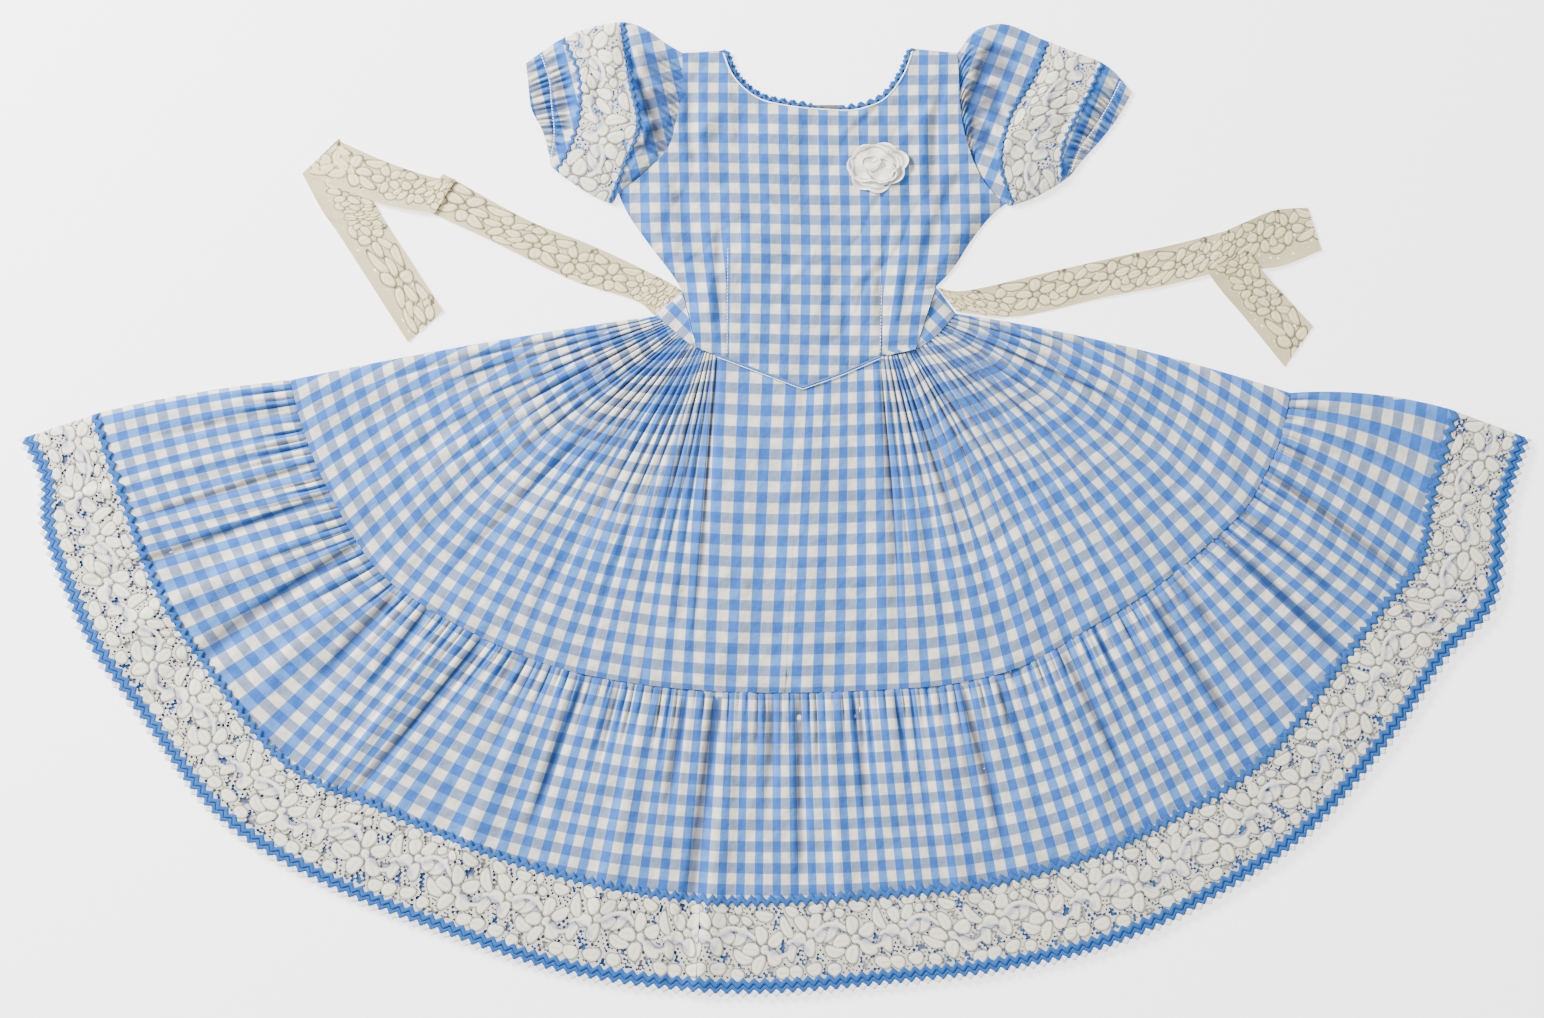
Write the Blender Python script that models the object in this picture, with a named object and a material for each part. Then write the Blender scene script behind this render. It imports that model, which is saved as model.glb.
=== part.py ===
"""Square dance dress, laid flat on its back with the front up.

The dress lies in the XY plane: +X is the wearer's left seen from above, +Y runs from the hem
to the neck and +Z is up. Lengths are in millimetres until a mesh is made.
"""

import bmesh
import bpy
import numpy as np

MM = 0.001

# Thicknesses and the gap kept at every seam
CLOTH = 1.4
LACE = 1.0
RICKRACK = 1.0
RIBBON = 1.2
SEAM_GAP = 0.3

# Gathers and pleats
SIDE_PLEATS = 25
CENTRE_COLUMNS = 6
RUFFLE_GATHERS = 60
BACK_COLUMNS = 24
PLEAT_ROWS = ((0.0, 1.2), (0.13, 2.9), (0.5, 2.4), (1.0, 0.6))
GATHER_ROWS = ((0.0, 1.2), (0.13, 2.6), (0.5, 1.2))
HOLLOW_LIMIT = 3.8

# Hem trim, measured outward from the line where the lace band starts
TRIM_START = -9.0
TOP_RICKRACK = (-7.0, 6.0)
HEM_RICKRACK_WIDTH = 20.0
LACE_CLEARANCE = 1.0
CLOTH_SHORT_OF_TEETH = 8.0
TOOTH_HEIGHT = 3.0
RUFFLE_TEETH = 120

# Neck rickrack
NECK_TEETH = 26
NECK_TOOTH = 3.0
NECK_BAND = 5.0

# Radial sections of the skirt from its left edge to its right edge: tier seam, top of the lace, hem
SKIRT_SECTIONS = (
    # seam x, y, lace top x, y, hem x, y
    (-567, 151, -796, 111, -886, 81),
    (-556, 107, -778, 57, -863, 32),
    (-541, 63, -760, 8, -863, -10),
    (-508, -5, -733, -69, -836, -95),
    (-489, -38, -703, -127, -804, -165),
    (-467, -69, -664, -183, -754, -235),
    (-417, -109, -579, -290, -664, -355),
    (-324, -159, -466, -347, -532, -442),
    (-249, -187, -333, -402, -383, -503),
    (-164, -204, -216, -436, -251, -546),
    (-70, -213, -87, -456, -93, -569),
    (112, -212, 135, -449, 153, -558),
    (205, -205, 246, -438, 270, -544),
    (287, -185, 363, -407, 393, -516),
    (369, -139, 474, -356, 527, -453),
    (445, -92, 574, -290, 636, -376),
    (504, -44, 656, -188, 732, -264),
    (554, 5, 714, -111, 793, -174),
    (582, 57, 755, -60, 848, -110),
    (596, 96, 770, 22, 864, 6),
    (604, 136, 796, 115, 887, 81),
)
CENTRE_SEAM_X = 12
CENTRE_ZONE_X = (-100, 155)

# How far the skirt's two side edges bow upward, in the upper tier and in the ruffle
TIER_BOW = (4.0, 9.0)
RUFFLE_BOW = (4.0, 8.0)
BOW_REACH = 0.07

# Waist seam, its two flat-zone ends and its point, from left to right
WAIST_LEFT = ((-140, 226), (-127, 217), (-108, 200), (-85, 185), (-68, 180))
WAIST_CENTRE_LEFT = ((-68, 180), (-20, 162), (33, 142))
WAIST_CENTRE_RIGHT = ((33, 142), (80, 159), (124, 178))
WAIST_RIGHT = ((124, 178), (159, 184), (188, 202), (212, 229))
WAIST_BACK = ((-140, 226), (-55, 200), (35, 192), (125, 201), (212, 229))

# Broad folds that run down the ruffle: share of the width, height, half width as a share
RUFFLE_FOLDS = (
    # share, height, half width
    (0.030, 1.6, 0.010),
    (0.085, 2.6, 0.014),
    (0.150, 1.8, 0.012),
    (0.215, 2.8, 0.016),
    (0.270, 1.5, 0.010),
    (0.335, 2.4, 0.013),
    (0.400, 2.0, 0.015),
    (0.452, 3.0, 0.011),
    (0.520, 1.7, 0.013),
    (0.575, 2.5, 0.012),
    (0.640, 2.0, 0.015),
    (0.700, 2.9, 0.013),
    (0.765, 1.9, 0.011),
    (0.820, 2.7, 0.015),
    (0.885, 2.2, 0.012),
    (0.950, 2.8, 0.013),
)

# Bodice outline
ARMHOLE_LEFT = ((-183, 370), (-162, 385), (-141, 404), (-125, 422), (-115, 455), (-108, 490), (-108, 534))
SHOULDER_LEFT = ((-108, 534), (-61, 537))
NECKLINE = ((-61, 537), (-48, 507), (-20, 482), (18, 472), (60, 468), (97, 468), (128, 480), (150, 507), (163, 539))
SHOULDER_RIGHT = ((163, 539), (214, 534))
ARMHOLE_RIGHT = ((214, 534), (216, 500), (218, 465), (225, 430), (246, 382), (269, 356))
SIDE_LEFT = ((-183, 370), (-175, 352), (-147, 310), (-121, 276), (-107, 255))
SIDE_RIGHT = ((269, 356), (260, 349), (231, 315), (208, 280), (189, 260))
SIDE_SEAM_LEFT = ((-107, 255), (-91, 189))
SIDE_SEAM_RIGHT = ((189, 260), (165, 187))
BACK_NECK_RISE = 4.0
CLOSURE_WIDTH = 22.0
BODICE_ROWS = 8
ARMHOLE_STEPS = 10
SHOULDER_STEPS = 2
NECK_STEPS = 14
CENTRE_BACK_STEP = 8
NECK_CENTRE_X = 53
NECK_ZONE = 160
NECK_RISE = 2.9
BUST_X = (-40, 130)
BUST_RISE = 0.5

# Sleeve sections beyond the armhole, each from the shoulder edge to the underarm edge
SLEEVE_STATIONS = (0.0, 0.08, 0.18, 0.36, 0.55, 0.74, 1.0)
SLEEVE_ROWS = (0.0, 0.09, 0.2, 0.33, 0.39, 0.55, 0.71, 0.77, 0.89, 1.0)
INNER_RICKRACK_ROWS = (3, 4)
LACE_ROWS = (4, 5, 6)
OUTER_RICKRACK_ROWS = (6, 7)
SLEEVE_COLUMNS = 20
SLEEVE_BACK_COLUMNS = 10
SLEEVE_PUFF = 2.4
SLEEVES = {
    "left": (
        ((-128, 546), (-124, 480), (-136, 430), (-161, 394), (-185, 368)),
        ((-146, 559), (-138, 489), (-145, 438), (-168, 395), (-187, 364)),
        ((-176, 570), (-166, 497), (-158, 445), (-175, 400), (-192, 358)),
        ((-218, 563), (-203, 505), (-196, 450), (-208, 409), (-222, 372)),
        ((-250, 550), (-232, 510), (-231, 465), (-239, 432), (-257, 397)),
        ((-291, 522), (-288, 495), (-285, 470), (-271, 441), (-263, 411)),
    ),
    "right": (
        ((233, 558), (226, 490), (232, 435), (248, 391), (271, 357)),
        ((262, 568), (255, 500), (246, 440), (253, 396), (273, 356)),
        ((316, 549), (302, 510), (272, 455), (263, 404), (278, 355)),
        ((349, 536), (335, 498), (308, 455), (300, 415), (310, 367)),
        ((386, 521), (371, 487), (355, 457), (339, 422), (338, 384)),
        ((419, 488), (402, 458), (383, 433), (364, 412), (348, 392)),
    ),
}
ARMHOLE_OFFSET = {"left": (-0.4, 0.3), "right": (0.4, 0.3)}

# Ties: the two long edges of each stretch and the height of its underside along it
TIES = {
    "tie_left_run": (
        ((-107.6, 255.6), (-134, 271), (-212, 308), (-290, 339), (-388, 393)),
        ((-140.6, 226.8), (-165, 245), (-237, 268), (-333, 315), (-418, 354)),
        (0, 0, 0, 0, 0),
    ),
    "tie_left_loop": (
        ((-373, 386), (-402, 389), (-453, 406), (-510, 431)),
        ((-398, 346), (-437, 352), (-480, 364), (-548, 391)),
        (1.6, 1.6, 0, 0),
    ),
    "tie_left_tail": (
        ((-510, 434), (-467, 356), (-450, 328), (-388, 232)),
        ((-553, 393), (-530, 350), (-506, 315), (-429, 195)),
        (1.6, 1.6, 0, 0),
    ),
    "tie_right_run": (
        ((191, 259), (226, 256), (319, 277), (404, 296), (473, 311), (541, 329)),
        ((213.5, 231), (267, 225), (312, 230), (387, 248), (456, 261), (525, 279)),
        (0, 0, 0, 0, 0, 0),
    ),
    "tie_right_end": (
        ((529, 326), (556, 338), (586, 350), (625, 353)),
        ((515, 277), (548, 280), (592, 284), (641, 303)),
        (1.6, 1.6, 0, 0),
    ),
    "tie_right_tail": (
        ((552, 304), (572, 278), (600, 247), (631, 214)),
        ((508, 275), (524, 254), (553, 221), (598, 166)),
        (3.2, 3.2, 0, 0),
    ),
}
TIE_ACROSS = 3
TIE_STEPS = 3

# Lace rosette pinned on the bodice
ROSETTE_CENTRE = (120, 400)
ROSETTE_RADII = (41, 33)
ROSETTE_PETALS = 9
ROSETTE_SPOKES = 36
ROSETTE_RINGS = ((0.06, 3.2), (0.3, 4.2), (0.62, 2.2), (0.8, 3.4), (1.0, 1.4))


def clear_scene():
    for item in list(bpy.data.objects):
        bpy.data.objects.remove(item, do_unlink=True)


def material(name, colour, roughness=0.85):
    made = bpy.data.materials.new(name)
    made.use_nodes = True
    shader = made.node_tree.nodes["Principled BSDF"]
    shader.inputs["Base Color"].default_value = (*colour, 1.0)
    shader.inputs["Roughness"].default_value = roughness
    return made


def add_mesh(name, points, faces, look):
    mesh = bpy.data.meshes.new(name)
    mesh.from_pydata((points * MM).tolist(), [], faces)
    shape = bmesh.new()
    shape.from_mesh(mesh)
    bmesh.ops.recalc_face_normals(shape, faces=shape.faces)
    shape.to_mesh(mesh)
    shape.free()
    mesh.materials.append(look)
    item = bpy.data.objects.new(name, mesh)
    bpy.context.collection.objects.link(item)
    return item


def grid_faces(index, closed=False):
    """Give two triangles for each cell of a grid of point numbers, all cut the same way."""
    faces = []
    rows, columns = index.shape
    for row in range(rows - 1):
        for column in range(columns if closed else columns - 1):
            after = (column + 1) % columns
            a, b = index[row, column], index[row, after]
            c, d = index[row + 1, after], index[row + 1, column]
            faces += [(a, b, c), (a, c, d)]
    return [tuple(int(k) for k in face) for face in faces]


def add_panel(name, top, bottom, look):
    """Close a panel between its upper and lower grids of points."""
    rows, columns = top.shape[:2]
    upper = np.arange(rows * columns).reshape(rows, columns)
    lower = upper + rows * columns
    faces = grid_faces(upper) + grid_faces(lower)
    for rim in (lambda g: g[0], lambda g: g[-1], lambda g: g[:, 0], lambda g: g[:, -1]):
        faces += grid_faces(np.array([rim(upper), rim(lower)]))
    points = np.vstack([top.reshape(-1, 3), bottom.reshape(-1, 3)])
    return add_mesh(name, points, faces, look)


def add_tube(name, outer, inner, look):
    """Close a flattened tube between its outer and inner rings."""
    rows, columns = outer.shape[:2]
    outside = np.arange(rows * columns).reshape(rows, columns)
    inside = outside + rows * columns
    faces = grid_faces(outside, closed=True) + grid_faces(inside, closed=True)
    for end in (0, -1):
        faces += grid_faces(np.array([outside[end], inside[end]]), closed=True)
    points = np.vstack([outer.reshape(-1, 3), inner.reshape(-1, 3)])
    return add_mesh(name, points, faces, look)


def panel(name, plan, underside, thickness, look):
    """Lay a panel of even thickness on the heights of its underside."""
    bottom = np.dstack([plan, underside])
    top = np.dstack([plan, underside + thickness])
    return add_panel(name, top, bottom, look)


def smooth_at(points, knots, places):
    """Read the smooth curve that passes each point at its knot."""
    points, knots = np.asarray(points, float), np.asarray(knots, float)
    places = np.clip(np.asarray(places, float), knots[0], knots[-1])
    slopes = np.gradient(points, knots, axis=0)
    start = np.clip(np.searchsorted(knots, places, side="right") - 1, 0, len(knots) - 2)
    span = knots[start + 1] - knots[start]
    shape = (-1,) + (1,) * (points.ndim - 1)
    t, span = ((places - knots[start]) / span).reshape(shape), span.reshape(shape)
    here, after = points[start], points[start + 1]
    leave, arrive = slopes[start] * span, slopes[start + 1] * span
    return (here * (2 * t**3 - 3 * t**2 + 1) + leave * (t**3 - 2 * t**2 + t)
            + after * (3 * t**2 - 2 * t**3) + arrive * (t**3 - t**2))


def line_shares(points):
    """Give the share of a line's length at each of its points."""
    steps = np.linalg.norm(np.diff(np.asarray(points, float), axis=0), axis=1)
    length = np.concatenate([[0], np.cumsum(steps)])
    return length / length[-1]


def along(points, shares):
    """Read the smooth curve through the points at shares of its length."""
    knots = line_shares(points)
    places = np.linspace(0, 1, 24 * len(points))
    dense = smooth_at(points, knots, places)
    return smooth_at(points, knots, np.interp(shares, line_shares(dense), places))


def chain(pieces, counts):
    """Join curves end to end, each with its own number of steps."""
    rows = [along(piece, np.linspace(0, 1, count + 1))[:-1] for piece, count in zip(pieces, counts)]
    return np.vstack(rows + [np.array([pieces[-1][-1]], float)])


def unevenness(count, seed):
    """Give each fold its own height, between 0.7 and 1."""
    return 0.85 + 0.15 * np.sin(np.arange(count) * 2.4 + seed * np.arange(count) ** 0.5)


def alternate(count, seed):
    """Ridges on the odd columns, troughs on the even ones."""
    return (np.arange(count) % 2) * unevenness(count, seed)


class Skirt:
    """Radial lines of the skirt, read at shares of the tier seam's length."""

    def __init__(self):
        table = np.array(SKIRT_SECTIONS, float)
        self.seam, self.lace, self.hem = table[:, 0:2], table[:, 2:4], table[:, 4:6]
        self.knots = (line_shares(self.seam) + line_shares(self.hem)) / 2
        self.places = np.linspace(0, 1, 400)
        dense = smooth_at(self.seam, self.knots, self.places)
        self.shares = line_shares(dense)
        self.centre = float(np.interp(CENTRE_SEAM_X, dense[:, 0], self.shares))
        self.zone = [float(np.interp(x, dense[:, 0], self.shares)) for x in CENTRE_ZONE_X]

    def read(self, line, shares):
        return smooth_at(line, self.knots, np.interp(shares, self.shares, self.places))

    def seam_at(self, shares):
        return self.read(self.seam, shares)

    def trim_depth(self, shares):
        return np.linalg.norm(self.read(self.hem, shares) - self.read(self.lace, shares), axis=1)

    def trim_at(self, shares, depth):
        """Points a distance outward from the line where the lace starts."""
        lace = self.read(self.lace, shares)
        way = self.read(self.hem, shares) - lace
        way /= np.linalg.norm(way, axis=1)[:, None]
        return lace + way * np.broadcast_to(depth, shares.shape)[:, None]

    def bowed(self, plan, shares, parts, bow):
        """Lift the rows' outer ends so that the side edges bow."""
        parts = np.asarray(parts)[:, None]
        ends = bow[0] * np.exp(-((shares / BOW_REACH) ** 2)) + bow[1] * np.exp(-(((1 - shares) / BOW_REACH) ** 2))
        plan = plan.copy()
        plan[..., 1] += 4 * parts * (1 - parts) * ends[None]
        return plan

    def folds(self, shares):
        height = np.zeros_like(shares)
        for place, top, half in RUFFLE_FOLDS:
            height += top * np.exp(-(((shares - place) / half) ** 2))
        return height


def rows_between(start, end, parts):
    """Straight rows between two lines of points."""
    parts = np.asarray(parts)[:, None, None]
    return start[None] * (1 - parts) + end[None] * parts


def toward(start, end, distance):
    """Move each start point toward its end point."""
    way = end - start
    return start + way / np.linalg.norm(way, axis=1)[:, None] * distance


def skirt_tier(skirt, looks):
    """Front tier in two panels that meet at the centre seam, and a plain back tier."""
    side = 2 * SIDE_PLEATS
    left_zone, right_zone = skirt.zone
    spans = (
        ("skirt_front_left", 0.0, left_zone, skirt.centre, WAIST_LEFT, WAIST_CENTRE_LEFT),
        ("skirt_front_right", skirt.centre, right_zone, 1.0, WAIST_CENTRE_RIGHT, WAIST_RIGHT),
    )
    parts = [row[0] for row in PLEAT_ROWS]
    heights = np.array([row[1] for row in PLEAT_ROWS])
    for name, first, middle, last, waist_a, waist_b in spans:
        counts = (side, CENTRE_COLUMNS) if name.endswith("left") else (CENTRE_COLUMNS, side)
        inner = SEAM_GAP / 1500
        ends = (first, last - inner) if name.endswith("left") else (first + inner, last)
        shares = np.concatenate([
            np.linspace(ends[0], middle, counts[0] + 1)[:-1], np.linspace(middle, ends[1], counts[1] + 1)])
        waist = chain((waist_a, waist_b), counts)
        seam = skirt.seam_at(shares)
        if name.endswith("left"):
            waist[-1] += (-SEAM_GAP / 2, 0)
        else:
            waist[0] += (SEAM_GAP / 2, 0)
        plan = rows_between(toward(waist, seam, SEAM_GAP), toward(seam, waist, SEAM_GAP), parts)
        plan = skirt.bowed(plan, shares, parts, TIER_BOW)
        ridge = alternate(len(shares), 1.7)
        pleated = np.arange(len(shares)) <= side if name.endswith("left") else (
            np.arange(len(shares)) >= CENTRE_COLUMNS)
        underside = CLOTH + SEAM_GAP + heights[:, None] * (ridge * pleated)[None]
        panel(name, plan, underside, CLOTH, looks["gingham"])
    shares = np.linspace(0, 1, BACK_COLUMNS + 1)
    waist = along(WAIST_BACK, shares)
    seam = skirt.seam_at(shares)
    parts = (0, 0.13, 0.5, 1)
    plan = rows_between(toward(waist, seam, SEAM_GAP), toward(seam, waist, SEAM_GAP), parts)
    plan = skirt.bowed(plan, shares, parts, TIER_BOW)
    panel("skirt_back", plan, np.zeros(plan.shape[:2]), CLOTH, looks["gingham"])


def ruffle(skirt, looks):
    """Gathered ruffle, front and back, with the lace band and rickrack along its hem."""
    shares = np.linspace(0, 1, 2 * RUFFLE_GATHERS + 1)
    depth = skirt.trim_depth(shares)
    back_shares = np.linspace(0, 1, BACK_COLUMNS + 1)
    back_depth = skirt.trim_depth(back_shares)
    trim_underside = max(LACE, RICKRACK) + SEAM_GAP
    front_base = trim_underside + CLOTH + SEAM_GAP

    parts = [row[0] for row in GATHER_ROWS]
    heights = np.array([row[1] for row in GATHER_ROWS])
    start = skirt.trim_at(shares, TRIM_START)
    seam = skirt.seam_at(shares)
    upper = skirt.bowed(rows_between(toward(seam, start, SEAM_GAP), start, parts), shares, parts, RUFFLE_BOW)
    edge = skirt.trim_at(shares, depth - CLOTH_SHORT_OF_TEETH)
    plan = np.concatenate([upper, [start], [edge]])
    ridge = alternate(len(shares), 3.1)
    folds = skirt.folds(shares)
    low = CLOTH + SEAM_GAP
    gathered = low + heights[:, None] * ridge[None] + np.array(parts)[:, None] * 1.2 * folds[None]
    trimmed = front_base + folds
    underside = np.vstack([gathered, trimmed, trimmed])
    panel("ruffle_front", plan, underside, CLOTH, looks["gingham"])

    on_cloth = trimmed + CLOTH + SEAM_GAP
    lace_span = (TOP_RICKRACK[1] + SEAM_GAP, depth - HEM_RICKRACK_WIDTH - LACE_CLEARANCE)
    strips = (
        ("rickrack_top_front", TOP_RICKRACK[0], TOP_RICKRACK[1], RICKRACK, "rickrack"),
        ("hem_lace_front", lace_span[0], lace_span[1], LACE, "lace"),
    )
    for name, inner, outer, thickness, look in strips:
        plan = np.array([skirt.trim_at(shares, inner), skirt.trim_at(shares, outer)])
        panel(name, plan, np.array([on_cloth, on_cloth]), thickness, looks[look])

    tooth_shares = np.linspace(0, 1, 2 * RUFFLE_TEETH + 1)
    tooth_depth = skirt.trim_depth(tooth_shares)
    swing = TOOTH_HEIGHT * (1 - 2 * (np.arange(len(tooth_shares)) % 2))
    inner = tooth_depth - HEM_RICKRACK_WIDTH + TOOTH_HEIGHT + swing
    outer = tooth_depth - TOOTH_HEIGHT + swing
    plan = np.array([skirt.trim_at(tooth_shares, inner), skirt.trim_at(tooth_shares, outer)])
    height = np.interp(tooth_shares, shares, on_cloth)
    panel("hem_rickrack_front", plan, np.array([height, height]), RICKRACK, looks["rickrack"])

    start = skirt.trim_at(back_shares, TRIM_START)
    seam = skirt.seam_at(back_shares)
    edge = skirt.trim_at(back_shares, back_depth - CLOTH_SHORT_OF_TEETH)
    parts = (0, 0.5, 0.95)
    flat = rows_between(toward(seam, start, SEAM_GAP), start, parts)
    flat = skirt.bowed(flat, back_shares, parts, RUFFLE_BOW)
    plan = np.concatenate([flat, [start], [edge]])
    levels = np.array([0, 0, 0, trim_underside, trim_underside])
    underside = np.repeat(levels[:, None], len(back_shares), axis=1)
    panel("ruffle_back", plan, underside, CLOTH, looks["gingham"])
    back_strips = (
        ("rickrack_top_back", TOP_RICKRACK[0], TOP_RICKRACK[1], RICKRACK, "rickrack"),
        ("hem_lace_back", lace_span[0], back_depth - HEM_RICKRACK_WIDTH - LACE_CLEARANCE, LACE, "lace"),
        ("hem_rickrack_back", back_depth - HEM_RICKRACK_WIDTH, back_depth, RICKRACK, "rickrack"),
    )
    for name, inner, outer, thickness, look in back_strips:
        plan = np.array([skirt.trim_at(back_shares, inner), skirt.trim_at(back_shares, outer)])
        panel(name, plan, np.zeros(plan.shape[:2]), thickness, looks[look])


def fill_patch(top, bottom, left, right):
    """Fill a four-sided patch from its edges; top and bottom run left to right, the sides downward."""
    across = line_shares(top)[None, :, None]
    down = np.linspace(0, 1, len(left))[:, None, None]
    straight = top[None] * (1 - down) + bottom[None] * down
    sides = left[:, None] * (1 - across) + right[:, None] * across
    corners = ((top[0] * (1 - down) + bottom[0] * down) * (1 - across)
               + (top[-1] * (1 - down) + bottom[-1] * down) * across)
    return straight + sides - corners


def inset(points, centre, distance):
    """Draw points in toward a centre by a distance."""
    way = np.asarray(centre, float) - points
    return points + way / np.linalg.norm(way, axis=-1, keepdims=True) * distance


def eased(value):
    """Turn a 0 to 1 ramp into one with soft ends."""
    value = np.clip(value, 0, 1)
    return value * value * (3 - 2 * value)


def bodice_rise(plan):
    """Height of the front's underside: high over the neck trim, low toward the sides and the waist."""
    x, y = plan[..., 0], plan[..., 1]
    neck = eased((NECK_ZONE - np.abs(x - NECK_CENTRE_X)) / 38) * eased((y - 170) / 50)
    bust = sum(np.exp(-(((x - place) / 42) ** 2) - ((y - 350) / 55) ** 2) for place in BUST_X)
    ripple = 0.3 * np.sin(x / 17 + y / 41)
    return CLOTH + SEAM_GAP + (NECK_RISE + ripple) * neck + BUST_RISE * bust


def bodice(looks):
    """Front with its armholes and scoop neck, two turned side pieces, and a back in two halves."""
    counts = (ARMHOLE_STEPS, SHOULDER_STEPS, NECK_STEPS, SHOULDER_STEPS, ARMHOLE_STEPS)
    top = chain((ARMHOLE_LEFT, SHOULDER_LEFT, NECKLINE, SHOULDER_RIGHT, ARMHOLE_RIGHT), counts)
    half_steps = sum(counts) // 2
    waist = np.vstack([
        [SIDE_SEAM_LEFT[1]], along(WAIST_CENTRE_LEFT, np.linspace(0, 1, half_steps))[:-1],
        along(WAIST_CENTRE_RIGHT, np.linspace(0, 1, half_steps)), [SIDE_SEAM_RIGHT[1]]])
    split = 5
    left = np.vstack([along(SIDE_LEFT, np.linspace(0, 1, split + 1)),
                      along(SIDE_SEAM_LEFT, np.linspace(0, 1, BODICE_ROWS - split + 1))[1:]])
    right = np.vstack([along(SIDE_RIGHT, np.linspace(0, 1, split + 1)),
                       along(SIDE_SEAM_RIGHT, np.linspace(0, 1, BODICE_ROWS - split + 1))[1:]])
    plan = fill_patch(top, waist, left, right)
    panel("bodice_front", plan, bodice_rise(plan), CLOTH, looks["gingham"])

    sides = (
        ("bodice_side_left", SIDE_SEAM_LEFT, along(WAIST_LEFT, np.linspace(0, 0.78, 5)), -1),
        ("bodice_side_right", SIDE_SEAM_RIGHT, along(WAIST_RIGHT, np.linspace(1, 0.42, 5)), 1),
    )
    for name, seam, edge, way in sides:
        apex = np.array(seam[0], float) + (way * 0.8, -1.5)
        start = np.array([apex + (way * k * 0.5, -k * 0.4) for k in (4, 3, 2, 1, 0)])
        ends = edge + (0, 0.1)
        ends[-1] = np.array(seam[1], float) + (way * 0.6, 0.3)
        plan = rows_between(start, ends, np.linspace(0, 1, 4))
        panel(name, plan, np.full(plan.shape[:2], CLOTH + SEAM_GAP), CLOTH, looks["gingham"])

    neck_back = np.array(NECKLINE, float) + (0, BACK_NECK_RISE)
    neck_back[0] = NECKLINE[0]
    neck_back[-1] = NECKLINE[-1]
    top = chain((ARMHOLE_LEFT, SHOULDER_LEFT, neck_back, SHOULDER_RIGHT, ARMHOLE_RIGHT), counts)
    waist = along(WAIST_BACK, np.linspace(0, 1, len(top)))
    left = np.vstack([along(SIDE_LEFT, np.linspace(0, 1, split + 1)), [WAIST_BACK[0]]])
    right = np.vstack([along(SIDE_RIGHT, np.linspace(0, 1, split + 1)), [WAIST_BACK[-1]]])
    plan = fill_patch(top, waist, left, right)
    middle = sum(counts[:2]) + CENTRE_BACK_STEP
    halves = (("bodice_back_left", plan[:, :middle + 1], -1), ("bodice_back_right", plan[:, middle:], 1))
    for name, half, way in halves:
        half = half.copy()
        half[:, -1 if way < 0 else 0] += (way * SEAM_GAP / 2, 0)
        panel(name, half, np.zeros(half.shape[:2]), CLOTH, looks["gingham"])
    return plan[:, middle]


def closure(centre_back, looks):
    """Fastening tape inside the centre back, whose top end shows in the neck."""
    way = centre_back[-1] - centre_back[0]
    rows = []
    for part in np.linspace(0, 0.8, 6):
        middle = centre_back[0] + way * part + (0, -1)
        rows.append([middle - (CLOSURE_WIDTH / 2, 0), middle + (CLOSURE_WIDTH / 2, 0)])
    plan = np.array(rows)
    plan[0, :, 1] += 3
    plan[0, :, 0] += (2.5, -2.5)
    panel("back_closure", plan, np.full(plan.shape[:2], CLOTH + SEAM_GAP), RICKRACK, looks["tape"])


def zigzag(name, line, outward, height, look):
    """Rickrack along a line: its band swings in and out with each tooth."""
    swing = NECK_TOOTH * (1 - 2 * (np.arange(len(line)) % 2))[:, None]
    inner = line + outward * (swing - NECK_BAND / 2)
    outer = line + outward * (swing + NECK_BAND / 2)
    plan = np.array([inner, outer])
    panel(name, plan, np.full(plan.shape[:2], height), RICKRACK, look)


def normals(line):
    way = np.gradient(line, axis=0)
    way /= np.linalg.norm(way, axis=1)[:, None]
    return np.column_stack([-way[:, 1], way[:, 0]])


def neck_trim(closure_x, looks):
    shares = np.linspace(0.015, 0.985, 2 * NECK_TEETH + 1)
    line = along(NECKLINE, shares)
    zigzag("neck_rickrack_front", line - normals(line), normals(line), 2 * SEAM_GAP + CLOTH + RICKRACK,
           looks["rickrack"])
    back = line + normals(line) * NECK_TOOTH
    gap = np.abs(back[:, 0] - closure_x) < CLOSURE_WIDTH / 2 + NECK_TOOTH
    first, last = np.flatnonzero(gap)[[0, -1]]
    zigzag("neck_rickrack_back_left", back[:first], normals(back)[:first], CLOTH + SEAM_GAP, looks["rickrack"])
    zigzag("neck_rickrack_back_right", back[last + 1:], normals(back)[last + 1:], CLOTH + SEAM_GAP,
           looks["rickrack"])


def armhole_chords(side):
    """Points on the straight steps of the bodice's armhole, from the shoulder to the underarm."""
    curve = {"left": ARMHOLE_LEFT[::-1], "right": ARMHOLE_RIGHT}[side]
    corners = along(curve, np.linspace(0, 1, ARMHOLE_STEPS + 1))
    places = np.linspace(0, ARMHOLE_STEPS, SLEEVE_COLUMNS + 1)
    line = np.column_stack([np.interp(places, range(ARMHOLE_STEPS + 1), corners[:, k]) for k in (0, 1)])
    return line + ARMHOLE_OFFSET[side]


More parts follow.
